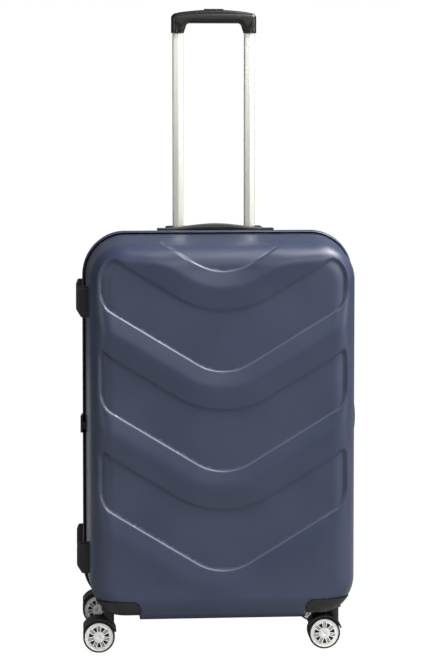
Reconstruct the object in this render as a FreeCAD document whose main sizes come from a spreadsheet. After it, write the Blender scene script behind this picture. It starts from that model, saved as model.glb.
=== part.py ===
import FreeCAD, Part
import math
import os
import re
import Sketcher

os.makedirs("parts", exist_ok=True)
doc = FreeCAD.newDocument("Suitcase")
Vec = FreeCAD.Vector

# The frame: X to the right, Y from the lid (front) to the back, Z up, origin on the floor under the
# middle of the case. All sizes are in millimetres.
DIMENSIONS = {
    # The two half shells. Each is a drafted tray with a rounded outline and a rounded front edge.
    "case_half_width": 245.0,
    "case_low": 54.0,
    "case_top": 736.5,
    "case_corner": 78.0,
    "case_rim": 3.0,
    "lid_inset": 6.0,
    "lid_rim": -7.0,
    "half_depth": 150.0,
    "draft_angle": 3.0,
    "edge_round": 34.0,
    "wall": 3.0,
    "panel_recess": 5.0,
    # The chevron bands and the recessed panels between them.
    "crease_top": 676.0,
    "crease_pitch": 175.2,
    "crease_bend": 89.0,
    "band_width": 65.6,
    "wing_angle": 31.4,
    "panel_half": 216.0,
    # The zip groove between the two rims.
    "zip_plane": -2.0,
    "tape_thick": 1.2,
    "tape_reach": 9.0,
    "chain_half": 1.6,
    # The cloth lining inside the shells.
    "lining_gap": 13.0,
    "lining_thick": 1.4,
    # The corner wheel housings and the casters.
    "housing_inner": 146.0,
    "housing_top": 98.0,
    "housing_under": 72.0,
    "housing_back": 40.0,
    "housing_corner": 16.0,
    "stem_side": 200.0,
    "stem_depth": 95.0,
    "stem_radius": 5.0,
    "trail": 18.0,
    "wheel_radius": 28.0,
    "rim_radius": 25.0,
    "axle_radius": 2.5,
    "running": 0.05,
    "apart": 0.3,
    # The telescopic trolley.
    "tube_side": 66.5,
    "tube_depth": 115.0,
    "tube_width": 20.0,
    "tube_thick": 13.0,
    "tube_wall": 1.3,
    "tube_corner": 3.5,
    "tube_low": 560.0,
    "tunnel_half": 92.5,
    "tunnel_front": 94.5,
    "bezel_low": 711.0,
    "bezel_floor": 721.0,
    "bezel_top": 733.5,
    "base_low": 66.0,
    "base_top": 82.0,
    "grip_low": 1097.0,
    "grip_bar": 1115.0,
    "grip_seam": 1131.0,
    "grip_top": 1140.0,
    "grip_half": 79.0,
    "grip_deep": 26.0,
    "grip_leg_foot": 55.7,
    "grip_leg_root": 50.0,
    "grip_corner": 5.0,
    "cover_end": 2.5,
    "button_half": 18.0,
    "button_deep": 16.0,
    # The carry handles on the top and on the right side.
    "handle_half": 107.0,
    "handle_broad": 24.0,
    "handle_rise": 13.0,
    "side_handle_rise": 17.5,
    "handle_depth": 70.0,
    "side_handle_level": 388.0,
    # The side feet, the hinge and the lock.
    "foot_out": -256.5,
    "foot_tall": 54.0,
    "foot_deep": 20.0,
    "foot_offset": 76.0,
    "foot_level": 162.5,
    "foot_level_top": 618.0,
    "hinge_out": -246.0,
    "hinge_level": 389.0,
    "hinge_tall": 31.0,
    "pin_radius": 1.25,
    "knuckle_radius": 3.2,
    "lock_level": 613.0,
    "lock_tall": 72.0,
    "lock_broad": 24.0,
    "lock_deep": 12.0,
    "dial_radius": 7.0,
}

sheet = doc.addObject("Spreadsheet::Sheet", "Dims")
for row, (word, value) in enumerate(DIMENSIONS.items(), 1):
    sheet.set("A%d" % row, word)
    sheet.set("B%d" % row, str(value))
    sheet.setAlias("B%d" % row, word)
doc.recompute()

parts = []


def linked(text):
    """The text of a formula with each dimension's word made a link to its cell."""
    return re.sub(r"[a-z_]+", lambda m: "Dims." + m[0] if m[0] in DIMENSIONS else m[0], str(text))


def number(text):
    """The present value of a formula on the sheet's words."""
    return float(sheet.evalExpression(linked(text)))


def bind(thing, **formulas):
    """Ties properties to formulas; a double underscore in a name stands for a dot."""
    for name, text in formulas.items():
        thing.setExpression(name.replace("__", "."), linked(text))


def keep(thing, node):
    """Marks an object as one finished piece; its label names the piece's file."""
    thing.Label = node
    parts.append(thing)
    return thing


def block(x, y, z, long, wide, tall):
    """A box from its low corner and its three sizes, all of them formulas."""
    thing = doc.addObject("Part::Box", "Block")
    bind(thing, Length=long, Width=wide, Height=tall)
    bind(thing, Placement__Base__x=x, Placement__Base__y=y, Placement__Base__z=z)
    return thing


AXES = {
    "x": FreeCAD.Rotation(Vec(0, 1, 0), 90),
    "y": FreeCAD.Rotation(Vec(1, 0, 0), -90),
    "z": FreeCAD.Rotation(),
}


def rod(axis, x, y, z, radius, long):
    """A cylinder that starts at x, y, z and runs along +X, +Y or +Z."""
    thing = doc.addObject("Part::Cylinder", "Rod")
    thing.Placement = FreeCAD.Placement(Vec(), AXES[axis])
    bind(thing, Radius=radius, Height=long)
    bind(thing, Placement__Base__x=x, Placement__Base__y=y, Placement__Base__z=z)
    return thing


def fuse(*things):
    thing = doc.addObject("Part::MultiFuse", "Joined")
    thing.Shapes = list(things)
    return thing


def cut(base, *tools):
    thing = doc.addObject("Part::Cut", "Cut")
    thing.Base = base
    thing.Tool = tools[0] if len(tools) == 1 else fuse(*tools)
    return thing


def common(first, second):
    thing = doc.addObject("Part::Common", "Shared")
    thing.Base = first
    thing.Tool = second
    return thing


def group(*things):
    """Several separate solids that are one piece of the list, such as a set of like fasteners."""
    thing = doc.addObject("Part::Compound", "Group")
    thing.Links = list(things)
    return thing


def rounded(base, radius, picks):
    """Rounds the edges of a block that picks accepts, given each edge's direction and middle."""
    doc.recompute()
    thing = doc.addObject("Part::Fillet", "Rounded")
    thing.Base = base
    chosen = []
    for index, edge in enumerate(base.Shape.Edges, 1):
        ends = edge.Vertexes[-1].Point - edge.Vertexes[0].Point
        if picks(ends, edge.CenterOfMass):
            chosen.append((index, radius, radius))
    thing.Edges = chosen
    return thing


def along(axis):
    """A picker of the straight edges that run along one axis."""
    return lambda ends, middle: abs(getattr(ends, axis)) > 0.99 * ends.Length > 0


def round_uprights(body, pad, radius, beyond=0.0):
    """Rounds a body's upright edges that lie further than beyond from its middle plane."""
    doc.recompute()
    upright = along("z")
    names = []
    for index, edge in enumerate(pad.Shape.Edges, 1):
        ends = edge.Vertexes[-1].Point - edge.Vertexes[0].Point
        if upright(ends, None) and abs(edge.CenterOfMass.x) > beyond:
            names.append("Edge%d" % index)
    fillet = body.newObject("PartDesign::Fillet", "Corners")
    fillet.Base = (pad, names)
    bind(fillet, Radius=radius)
    body.Tip = fillet


def turned(thing, turn, x, y, z):
    """Places a finished piece by a rotation and a position given by formulas."""
    thing.Placement = FreeCAD.Placement(Vec(), turn)
    bind(thing, Placement__Base__x=x, Placement__Base__y=y, Placement__Base__z=z)
    return thing


def new_sketch(body, plane, offset="0"):
    """A sketch on one of the body's own origin planes, moved along the plane's normal."""
    sketch = body.newObject("Sketcher::SketchObject", "Sketch")
    chosen = [item for item in body.Origin.OriginFeatures if item.Role == plane]
    sketch.AttachmentSupport = [(chosen[0], "")]
    sketch.MapMode = "FlatFace"
    bind(sketch, AttachmentOffset__Base__z=offset)
    return sketch


def fix(sketch, kind, formula, *places):
    """Adds a sized constraint and ties it to a formula."""
    value = number(formula)
    if kind == "Angle":
        value = math.radians(value)
    index = sketch.addConstraint(Sketcher.Constraint(kind, *places, value))
    name = "size_%d" % index
    sketch.renameConstraint(index, name)
    sketch.setExpression("Constraints." + name, linked(formula))


def line(sketch, start, end):
    return sketch.addGeometry(Part.LineSegment(Vec(*start, 0), Vec(*end, 0)), False)


def arc(sketch, centre, radius, start, end):
    """An arc between two angles in degrees, counted from the sketch's x axis."""
    circle = Part.Circle(Vec(*centre, 0), Vec(0, 0, 1), radius)
    return sketch.addGeometry(Part.ArcOfCircle(circle, math.radians(start), math.radians(end)), False)


def polygon(sketch, points):
    """A closed outline of straight lines whose corners are fixed points."""
    spots = [(number(across), number(up)) for across, up in points]
    lines = [line(sketch, start, end) for start, end in zip(spots, spots[1:] + spots[:1])]
    for first, second in zip(lines, lines[1:] + lines[:1]):
        sketch.addConstraint(Sketcher.Constraint("Coincident", first, 2, second, 1))
    for index, (across, up) in zip(lines, points):
        for kind, formula in (("DistanceX", across), ("DistanceY", up)):
            fix(sketch, kind, str(formula), -1, 1, index, 1)


def rounded_outline(sketch, half_width, low, top, corner):
    """A rounded rectangle that is symmetric about the vertical axis."""
    w, z0, z1, r = number(half_width), number(low), number(top), number(corner)
    sides = [
        line(sketch, (-w + r, z0), (w - r, z0)),
        arc(sketch, (w - r, z0 + r), r, -90, 0),
        line(sketch, (w, z0 + r), (w, z1 - r)),
        arc(sketch, (w - r, z1 - r), r, 0, 90),
        line(sketch, (w - r, z1), (-w + r, z1)),
        arc(sketch, (-w + r, z1 - r), r, 90, 180),
        line(sketch, (-w, z1 - r), (-w, z0 + r)),
        arc(sketch, (-w + r, z0 + r), r, 180, 270),
    ]
    for first, second in zip(sides, sides[1:] + sides[:1]):
        sketch.addConstraint(Sketcher.Constraint("Tangent", first, 2, second, 1))
    sketch.addConstraint(Sketcher.Constraint("Horizontal", sides[4]))
    sketch.addConstraint(Sketcher.Constraint("Vertical", sides[2]))
    sketch.addConstraint(Sketcher.Constraint("Vertical", sides[6]))
    for other in sides[3:8:2]:
        sketch.addConstraint(Sketcher.Constraint("Equal", sides[1], other))
    sketch.addConstraint(Sketcher.Constraint("Symmetric", sides[0], 1, sides[0], 2, -2))
    fix(sketch, "Radius", corner, sides[1])
    fix(sketch, "DistanceX", "2 * (%s)" % half_width, sides[6], 1, sides[2], 1)
    fix(sketch, "DistanceY", low, -1, 1, sides[0], 1)
    fix(sketch, "DistanceY", "(%s) - (%s)" % (top, low), sides[0], 1, sides[4], 1)


def envelope(half, inset, sunk="0"):
    """The solid block of one half of the case, moved in by inset on every outer side.

    The rounded outline is padded from the rim with the shell's draft, and its far edge is rounded.
    Its face lies deeper by sunk, with the outline left as it is.
    """
    more = "%s + %s" % (half["inset"], inset)
    body = doc.addObject("PartDesign::Body", "Envelope")
    sketch = new_sketch(body, "XZ_Plane", "-(%s)" % half["start"])
    rounded_outline(
        sketch,
        "case_half_width - (%s)" % more,
        "case_low + %s" % more,
        "case_top - (%s)" % more,
        "case_corner - (%s)" % more,
    )
    pad = body.newObject("PartDesign::Pad", "Tray")
    pad.Profile = sketch
    pad.Reversed = half["back"]
    bind(pad, Length="%s - %s - %s" % (half["depth"], inset, sunk), TaperAngle="-draft_angle")
    doc.recompute()
    far = pad.Shape.BoundBox.YMax if half["back"] else pad.Shape.BoundBox.YMin
    names = []
    for index, edge in enumerate(pad.Shape.Edges, 1):
        box = edge.BoundBox
        if abs(box.YMin - far) < 0.01 and abs(box.YMax - far) < 0.01:
            names.append("Edge%d" % index)
    fillet = body.newObject("PartDesign::Fillet", "FarEdge")
    fillet.Base = (pad, names)
    bind(fillet, Radius="edge_round - %s" % inset)
    body.Tip = fillet
    return body


CASE = {"back": True, "inset": "0", "start": "case_rim", "depth": "half_depth - case_rim"}
LID = {"back": False, "inset": "lid_inset", "start": "lid_rim", "depth": "half_depth + lid_rim"}


def crease(sketch, centre, radius, reach):
    """A V crease: two straight wings joined by an arc about a centre on the vertical axis above it."""
    middle, bend, side, tilt = number(centre), number(radius), number(reach), number("wing_angle")
    slope = math.tan(math.radians(tilt))
    near = bend * math.sin(math.radians(tilt))
    low = middle - bend * math.cos(math.radians(tilt))
    high = low + (side - near) * slope
    left = line(sketch, (-side, high), (-near, low))
    curve = arc(sketch, (0, middle), bend, 270 - tilt, 270 + tilt)
    right = line(sketch, (near, low), (side, high))
    sketch.addConstraint(Sketcher.Constraint("Tangent", left, 2, curve, 1))
    sketch.addConstraint(Sketcher.Constraint("Tangent", curve, 2, right, 1))
    sketch.addConstraint(Sketcher.Constraint("PointOnObject", curve, 3, -2))
    sketch.addConstraint(Sketcher.Constraint("Symmetric", left, 1, right, 2, -2))
    fix(sketch, "Radius", radius, curve)
    fix(sketch, "DistanceY", centre, -1, 1, curve, 3)
    fix(sketch, "Angle", "wing_angle", right)
    return left, right, high


def panel_prism(order, grow, back):
    """One recessed panel as a prism through the face, made larger all round by grow.

    Panel 0 is the triangle above the first band; each other panel lies between two bands.
    """
    body = doc.addObject("PartDesign::Body", "Panel")
    sketch = new_sketch(body, "XZ_Plane")
    centre = "crease_top - %d * crease_pitch + crease_bend" % order
    below = crease(sketch, centre, "crease_bend + %s" % grow, "panel_half + %s" % grow)
    if order:
        centre = "crease_top - %d * crease_pitch + crease_bend" % (order - 1)
        above = crease(sketch, centre, "crease_bend + band_width - %s" % grow, "panel_half + %s" % grow)
        reach = number("panel_half + %s" % grow)
        for side, (low, high) in enumerate(zip(below[:2], above[:2])):
            across = reach if side else -reach
            point = 2 if side else 1
            edge = line(sketch, (across, below[2]), (across, above[2]))
            sketch.addConstraint(Sketcher.Constraint("Coincident", edge, 1, low, point))
            sketch.addConstraint(Sketcher.Constraint("Coincident", edge, 2, high, point))
        sketch.addConstraint(Sketcher.Constraint("Vertical", edge))
        fix(sketch, "DistanceX", "panel_half + %s" % grow, -1, 1, above[1], 2)
    else:
        top = line(sketch, (-number("panel_half"), below[2]), (number("panel_half"), below[2]))
        sketch.addConstraint(Sketcher.Constraint("Coincident", top, 1, below[0], 1))
        sketch.addConstraint(Sketcher.Constraint("Coincident", top, 2, below[1], 2))
        fix(sketch, "DistanceX", "panel_half + %s" % grow, -1, 1, below[1], 2)
    pad = body.newObject("PartDesign::Pad", "Prism")
    pad.Profile = sketch
    pad.Reversed = back
    bind(pad, Length="half_depth + 20")
    return body


def relief(half, inset):
    """A half's block, moved in by inset, with its panels sunk into the face."""
    sunk = envelope(half, inset, "panel_recess")
    prisms = [panel_prism(order, inset, half["back"]) for order in range(4)]
    return cut(envelope(half, inset), cut(fuse(*prisms), sunk))


def housing_room(half, grow):
    """The two corner spaces of one half that the wheel housings fill, grown by grow."""
    y = "housing_back - (%s)" % grow if half["back"] else "-half_depth - 20"
    deep = "half_depth + 20 - housing_back + (%s)" % grow
    tall = "housing_top + (%s) - case_low / 2" % grow
    rooms = []
    for x in ("housing_inner - (%s)" % grow, "-case_half_width - 20"):
        wide = "case_half_width + 20 - housing_inner + (%s)" % grow
        room = block(x, y, "case_low / 2", wide, deep, tall)
        inner = number("housing_inner - (%s)" % grow)
        top = number("housing_top + (%s)" % grow)
        radius = number("housing_corner + (%s)" % grow)

        def inner_top(ends, middle, inner=inner, top=top):
            return abs(ends.y) > 50 and abs(abs(middle.x) - inner) < 0.1 and abs(middle.z - top) < 0.1

        rooms.append(rounded(room, radius, inner_top))
    return fuse(*rooms)


def trolley_room(grow):
    """The tunnel up the back of the case that the trolley's tubes, base and bezel stand in."""
    wide = "2 * (tunnel_half + (%s))" % grow
    return block("-tunnel_half - (%s)" % grow, "tunnel_front - (%s)" % grow, "0", wide, "60", "800")


def handle_places():
    """Rotation and position of each carry handle; a handle's own Z points out of the shell."""
    top_skin = "case_top - (handle_depth - case_rim) * tan(draft_angle * 1 deg)"
    side_skin = "case_half_width - (handle_depth - case_rim) * tan(draft_angle * 1 deg)"
    return {
        "top": (FreeCAD.Rotation(), "0", "handle_depth", top_skin),
        "side": (FreeCAD.Rotation(Vec(0, 1, 0), 90), side_skin, "handle_depth", "side_handle_level"),
    }


# --- The two shells -----------------------------------------------------------------------------

def shell(half, *openings):
    skin = relief(half, "0")
    cavity = relief(half, "wall")
    return cut(skin, cavity, housing_room(half, "0"), *openings)


# How far each leg of a carry handle stands in from the handle's end.
LEG_FROM_END = 11.0


def leg_holes(place):
    """The two holes in the shell under a carry handle's end blocks."""
    holes = []
    for side in (-1, 1):
        x = "%d * (handle_half - %s) - 8" % (side, LEG_FROM_END)
        holes.append(block(x, "-9.5", "-10", "16", "19", "20"))
    return turned(group(*holes), *place)


def lock_block(reach):
    """The box that the lock fills, from behind the wall out to a reach past it."""
    low = "lock_level - lock_tall / 2"
    long = "lock_deep + %s" % reach
    return block("case_half_width - lock_deep", "case_rim + 2", low, long, "lock_broad", "lock_tall")


def bezel_block(low, tall):
    """The oblong with rounded corners that the trolley's bezel fills."""
    solid = block("-tube_side - 24", "tube_depth - 19", low, "2 * tube_side + 48", "38", tall)
    return rounded(solid, 10.0, along("z"))


lock_space = lock_block("20")
bezel_space = bezel_block("case_top - 30", "60")
places = handle_places()
handle_holes = [leg_holes(place) for place in places.values()]
keep(shell(CASE, *handle_holes, lock_space, bezel_space), "rear_shell")
keep(shell(LID), "lid_shell")


# --- The zip: a cloth tape behind each rim, and a chain bead that fills the groove between them --

def sheet_of(start, deep, inset):
    """A flat slab with the case's outline moved in by inset, from start towards the back."""
    body = doc.addObject("PartDesign::Body", "Slab")
    sketch = new_sketch(body, "XZ_Plane", "-(%s)" % start)
    rounded_outline(
        sketch,
        "case_half_width - (%s)" % inset,
        "case_low + %s" % inset,
        "case_top - (%s)" % inset,
        "case_corner - (%s)" % inset,
    )
    pad = body.newObject("PartDesign::Pad", "Slab")
    pad.Profile = sketch
    pad.Reversed = True
    bind(pad, Length=deep)
    return body


def ring(start, deep, outer, inner):
    """A straight hoop that follows the case's outline between two insets."""
    return cut(sheet_of(start, deep, outer), sheet_of(start, deep, inner))


TAPE_GAP = "apart / 2"
rear_start = "zip_plane + %s" % TAPE_GAP
rear_skin = "wall + 1.8"
rear_flange = ring(rear_start, "14", rear_skin, rear_skin + " + tape_thick")
rear_chain = ring(rear_start, "chain_half", "lid_inset - 0.6", rear_skin + " + tape_reach")
rear_web = ring(rear_start, "chain_half", rear_skin, "lid_inset")
keep(cut(fuse(rear_flange, rear_chain, rear_web), lock_space), "zip_tape_rear")
lid_skin = "lid_inset + wall + 1.8"
lid_flange = ring("zip_plane - %s - 18" % TAPE_GAP, "18", lid_skin, lid_skin + " + tape_thick")
lid_start = "zip_plane - %s - chain_half" % TAPE_GAP
lid_chain = ring(lid_start, "chain_half", "lid_inset - 0.6", lid_skin + " + 3")
keep(fuse(lid_flange, lid_chain), "zip_tape_lid")


# --- The cloth linings and what lies in the case ------------------------------------------------

def lining(half, *rooms):
    """A cloth skin a little inside the shell that goes round the housings and the tunnel."""
    outer = cut(envelope(half, "lining_gap"), housing_room(half, "2"), *[room("0") for room in rooms])
    inner_block = envelope(half, "(lining_gap + lining_thick)")
    inner_rooms = [room("lining_thick") for room in rooms]
    inner = cut(inner_block, housing_room(half, "2 + lining_thick"), *inner_rooms)
    return cut(outer, inner)


keep(lining(CASE, trolley_room), "rear_lining")
keep(lining(LID), "lid_lining")
keep(sheet_of("lid_rim - 7", "2", "lid_inset + lining_gap + 4"), "lid_divider")

# Two cloth straps lie across the tunnel from wall to wall, each with a buckle in its middle.
strap_reach = "case_half_width - lining_gap - 12"
strap_level = "tunnel_front - lining_thick - 2.6"
STRAP_LOW = 255
STRAP_HIGH = 505
STRAP_WIDE = 30
straps = []
buckles = []
for level in (STRAP_LOW, STRAP_HIGH):
    whole = block("-(%s)" % strap_reach, strap_level, level, "2 * (%s)" % strap_reach, "1.6", STRAP_WIDE)
    clasp = block("-22", strap_level + " - 5", level - 4, "44", "8", STRAP_WIDE + 8)
    straps.append(cut(whole, clasp))
    clasp = block("-22", strap_level + " - 5", level - 4, "44", "6.6", STRAP_WIDE + 8)
    buckles.append(rounded(clasp, 4.0, along("y")))
keep(group(*straps), "packing_straps")
keep(group(*buckles), "strap_buckles")


# --- The trolley --------------------------------------------------------------------------------

def tube(side, low, high, grow, wall):
    """A flat tube of rounded section, bigger than the moving tube by grow on every side."""
    wide, thick = "tube_width + 2 * (%s)" % grow, "tube_thick + 2 * (%s)" % grow
    x, y = "%d * tube_side - (%s) / 2" % (side, wide), "tube_depth - (%s) / 2" % thick
    tall = "(%s) - (%s)" % (high, low)
    corner = number("tube_corner + (%s)" % grow)
    outside = rounded(block(x, y, low, wide, thick, tall), corner, along("z"))
    if not wall:
        return outside
    bore = block(
        x + " + " + wall, y + " + " + wall, "%s - 1" % low,
        "%s - 2 * (%s)" % (wide, wall), "%s - 2 * (%s)" % (thick, wall), tall + " + 2",
    )
    return cut(outside, rounded(bore, corner - number(wall), along("z")))


SIDES = (-1, 1)
OUTER_WALL = "1.4"
outer_grow = "(apart + %s)" % OUTER_WALL
outer = [tube(side, "base_low + 6", "bezel_low", outer_grow, OUTER_WALL) for side in SIDES]
keep(group(*outer), "trolley_outer_tubes")

inner = [tube(side, "tube_low", "grip_bar - 3", "0", "tube_wall") for side in SIDES]
keep(group(*inner), "trolley_inner_tubes")

bezel = bezel_block("bezel_low", "bezel_top - bezel_low")
tray = block(
    "-grip_half - 1.2", "tube_depth - grip_deep / 2 - 0.8", "bezel_floor",
    "2 * grip_half + 2.4", "grip_deep + 1.6", "40",
)
tube_holes = [tube(side, "bezel_low - 20", "bezel_top + 20", "apart", None) for side in SIDES]
keep(cut(bezel, rounded(tray, 4.0, along("z")), *tube_holes), "trolley_bezel")

base_tall = "base_top - base_low"
base = block("-tube_side - 20", "tube_depth - 12", "base_low", "2 * tube_side + 40", "24", base_tall)
sockets = [tube(side, "base_low + 6", "base_top + 20", outer_grow, None) for side in SIDES]
keep(cut(rounded(base, 4.0, along("z")), *sockets), "trolley_base")

# The grip: a bar with two legs that take the tubes, hollowed for the release linkage.
grip = doc.addObject("PartDesign::Body", "Grip")
front = new_sketch(grip, "XZ_Plane", "-tube_depth - grip_deep / 2")
polygon(front, [
    ("-grip_half", "grip_low"), ("-grip_leg_foot", "grip_low"),
    ("-grip_leg_root", "grip_bar"), ("grip_leg_root", "grip_bar"),
    ("grip_leg_foot", "grip_low"), ("grip_half", "grip_low"),
    ("grip_half", "grip_seam"), ("-grip_half", "grip_seam"),
])
grip_pad = grip.newObject("PartDesign::Pad", "Bar")
grip_pad.Profile = front
bind(grip_pad, Length="grip_deep")
round_uprights(grip, grip_pad, "grip_corner", number("grip_half - 9"))


def button_space(low, tall):
    """The room round the release button, a small gap larger than it on every side."""
    x, y = "-button_half - apart", "tube_depth - button_deep / 2 - apart"
    solid = block(x, y, low, "2 * (button_half + apart)", "button_deep + 2 * apart", tall)
    return rounded(solid, 3.3, along("z"))


sleeves = [tube(side, "grip_low - 1", "grip_bar - 3", "0", None) for side in SIDES]
linkage_room = block("-tube_side - 5", "tube_depth - 4.5", "grip_bar - 3", "2 * tube_side + 10", "9", "30")
keep(cut(grip, fuse(*sleeves), linkage_room, button_space("grip_seam - 8.5", "20")), "grip_body")

button_front = "tube_depth - button_deep / 2"
button = block("-button_half", button_front, "grip_seam - 4", "2 * button_half", "button_deep", "14.6")
button_stem = block("-6", "tube_depth - 3", "grip_seam - 9", "12", "6", "5")
keep(fuse(rounded(button, 3.0, along("z")), button_stem), "trolley_button")
ROD_RADIUS = 2.0
bar = block("-tube_side - 3", "tube_depth - 3", "grip_seam - 13", "2 * tube_side + 6", "6", "4")
rods = []
for side in SIDES:
    rod_tall = "grip_seam - 10 - tube_low - 30"
    rods.append(rod("z", "%d * tube_side" % side, "tube_depth", "tube_low + 30", ROD_RADIUS, rod_tall))
keep(fuse(bar, *rods), "release_rods")

# The grip's cover: a low arch over the bar, rounded at its four corners.
cover = doc.addObject("PartDesign::Body", "Cover")
arch = new_sketch(cover, "XZ_Plane", "-tube_depth - grip_deep / 2")
half_wide, seam, end = number("grip_half"), number("grip_seam"), number("cover_end")
arch_rise = number("grip_top - grip_seam - cover_end")
crown = (half_wide * half_wide + arch_rise * arch_rise) / (2 * arch_rise)
sweep = math.degrees(math.asin(half_wide / crown))
sides = [
    line(arch, (-half_wide, seam), (half_wide, seam)),
    line(arch, (half_wide, seam), (half_wide, seam + end)),
    arc(arch, (0, seam + end + arch_rise - crown), crown, 90 - sweep, 90 + sweep),
    line(arch, (-half_wide, seam + end), (-half_wide, seam)),
]
for first, second in zip(sides, sides[1:] + sides[:1]):
    arch.addConstraint(Sketcher.Constraint("Coincident", first, 2, second, 1))
arch.addConstraint(Sketcher.Constraint("Horizontal", sides[0]))
arch.addConstraint(Sketcher.Constraint("Vertical", sides[1]))
arch.addConstraint(Sketcher.Constraint("Vertical", sides[3]))
fix(arch, "DistanceX", "grip_half", -1, 1, sides[0], 2)
fix(arch, "DistanceX", "2 * grip_half", sides[0], 1, sides[0], 2)
fix(arch, "DistanceY", "grip_seam", -1, 1, sides[0], 2)
fix(arch, "DistanceY", "cover_end", sides[1], 1, sides[1], 2)
fix(arch, "DistanceY", "cover_end", sides[3], 2, sides[3], 1)
rise_word = "(grip_top - grip_seam - cover_end)"
fix(arch, "Radius", "grip_half * grip_half / (2 * %s) + %s / 2" % (rise_word, rise_word), sides[2])
cover_pad = cover.newObject("PartDesign::Pad", "Crown")
cover_pad.Profile = arch
bind(cover_pad, Length="grip_deep")
round_uprights(cover, cover_pad, "grip_corner")
keep(cut(cover, button_space("grip_seam - 10", "30")), "grip_cover")


# --- The carry handles --------------------------------------------------------------------------

# Heights above the shell's skin: the end block, its hollow, the leg's lower end and its foot.
MOUNT_TALL = 4.6
CAVITY_TOP = 2.8
LEG_LOW = -10.5
LEG_FOOT_TALL = 2.0


def handle_mounts(name):
    """The two end blocks of a carry handle, each hollow below so that the leg's foot can rise."""
    ends = []
    for side in SIDES:
        middle = "%d * (handle_half - %s)" % (side, LEG_FROM_END)
        front = "-handle_broad / 2 - 1"
        outside = block(middle + " - 11", front, "-9", "22", "handle_broad + 2", MOUNT_TALL + 9)
        hollow = block(middle + " - 7.5", "-9", "-20", "15", "18", CAVITY_TOP + 20)
        slot = block(middle + " - 2.4", "-7.4", "-5", "4.8", "14.8", "30")
        ends.append(cut(rounded(outside, 2.0, along("z")), hollow, slot))
    return turned(group(*ends), *places[name])


def handle_strap(name, peak):
    """The arched bar with a leg at each end; each leg has a foot that keeps it in its end block."""
    base = number("handle_half") - LEG_FROM_END + 6
    low, thick = MOUNT_TALL + 0.3, 5.0
    rise = number(peak) - low - thick
    bend = (base * base + rise * rise) / (2 * rise)
    outer = rod("y", "0", "-handle_broad / 2", number(peak) - bend, bend, "handle_broad")
    inner = rod("y", "0", "-handle_broad / 2 - 1", number(peak) - bend - thick, bend, "handle_broad + 2")
    window = block(-base, "-handle_broad / 2", low, 2 * base, "handle_broad", "60")
    bar = common(cut(outer, inner), window)
    pads = []
    for side in SIDES:
        middle = "%d * (handle_half - %s)" % (side, LEG_FROM_END)
        pads.append(block(middle + " - 6", "-handle_broad / 2", low, "12", "handle_broad", "3.2"))
        pads.append(block(middle + " - 2", "-7", LEG_LOW, "4", "14", low - LEG_LOW + 1))
        pads.append(block(middle + " - 6.5", "-7", LEG_LOW, "13", "14", LEG_FOOT_TALL))
    return turned(fuse(bar, *pads), *places[name])


for name, peak in (("top", "handle_rise"), ("side", "side_handle_rise")):
    keep(cut(handle_mounts(name), envelope(CASE, "0")), name + "_handle_mounts")
    keep(handle_strap(name, peak), name + "_handle")


# --- The side feet, their screws and the hinge --------------------------------------------------

FOOT_ROUND = 8.0


def feet(half):
    """Two moulded feet on the left wall, shaped to the shell on their inner side."""
    sign = 1 if half["back"] else -1
    solids = []
    for level in ("foot_level", "foot_level_top"):
        y = "%d * foot_offset - foot_deep / 2" % sign
        solid = block("foot_out", y, "%s - foot_tall / 2" % level, "30", "foot_deep", "foot_tall")
        solids.append(rounded(solid, FOOT_ROUND, lambda ends, middle: middle.x < -250 and abs(ends.y) > 5))
    return cut(group(*solids), envelope(half, "0"))


keep(feet(CASE), "rear_feet")
keep(feet(LID), "lid_feet")

knuckle_low = "hinge_level - hinge_tall / 2"
KNUCKLE_CASE = 9.0
KNUCKLE_GAP = 0.3
pin_hole = rod("z", "hinge_out", "zip_plane", knuckle_low + " - 1", "pin_radius", "hinge_tall + 2")
leaf = []
for z in (knuckle_low, "hinge_level + hinge_tall / 2 - %s" % KNUCKLE_CASE):
    leaf.append(rod("z", "hinge_out", "zip_plane", z, "knuckle_radius", KNUCKLE_CASE))
    leaf.append(block("hinge_out - 1.5", "zip_plane", z, "3", "8", KNUCKLE_CASE))
leaf.append(block("hinge_out - 1.5", "zip_plane + 6.5", knuckle_low, "4", "17", "hinge_tall"))
keep(cut(fuse(*leaf), pin_hole, envelope(CASE, "0")), "hinge_leaf_case")
keep(rod("z", "hinge_out", "zip_plane", knuckle_low, "pin_radius", "hinge_tall"), "hinge_pin")

knuckle_low = "hinge_level - hinge_tall / 2 + %s" % (KNUCKLE_CASE + KNUCKLE_GAP)
knuckle_tall = "hinge_tall - %s" % (2 * (KNUCKLE_CASE + KNUCKLE_GAP))
leaf = [
    rod("z", "hinge_out", "zip_plane", knuckle_low, "knuckle_radius", knuckle_tall),
    block("hinge_out - 1.5", "zip_plane - 7", knuckle_low, "3", "7", knuckle_tall),
    block("hinge_out - 1.5", "zip_plane - 8", knuckle_low, "10", "3", knuckle_tall),
    block("hinge_out + 3.5", "zip_plane - 22", knuckle_low, "5", "17", knuckle_tall),
]
loose_hole = rod("z", "hinge_out", "zip_plane", "hinge_level - 100", "pin_radius + running", "200")
keep(cut(fuse(*leaf), loose_hole, envelope(LID, "0")), "hinge_leaf_lid")

# The heads of the four screws that hold the rear feet, inside the wall.
SCREW_HEAD = 3.2
SCREW_TALL = 1.8
SCREW_STEP = 14
screws = []
for level in ("foot_level", "foot_level_top"):
    for side in SIDES:
        z = "%s + %d" % (level, side * SCREW_STEP)
        screws.append(rod("x", "-case_half_width + wall + 4", "foot_offset", z, SCREW_HEAD, SCREW_TALL))
keep(group(*screws), "foot_screws")


# --- The lock and the zip sliders ---------------------------------------------------------------

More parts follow.
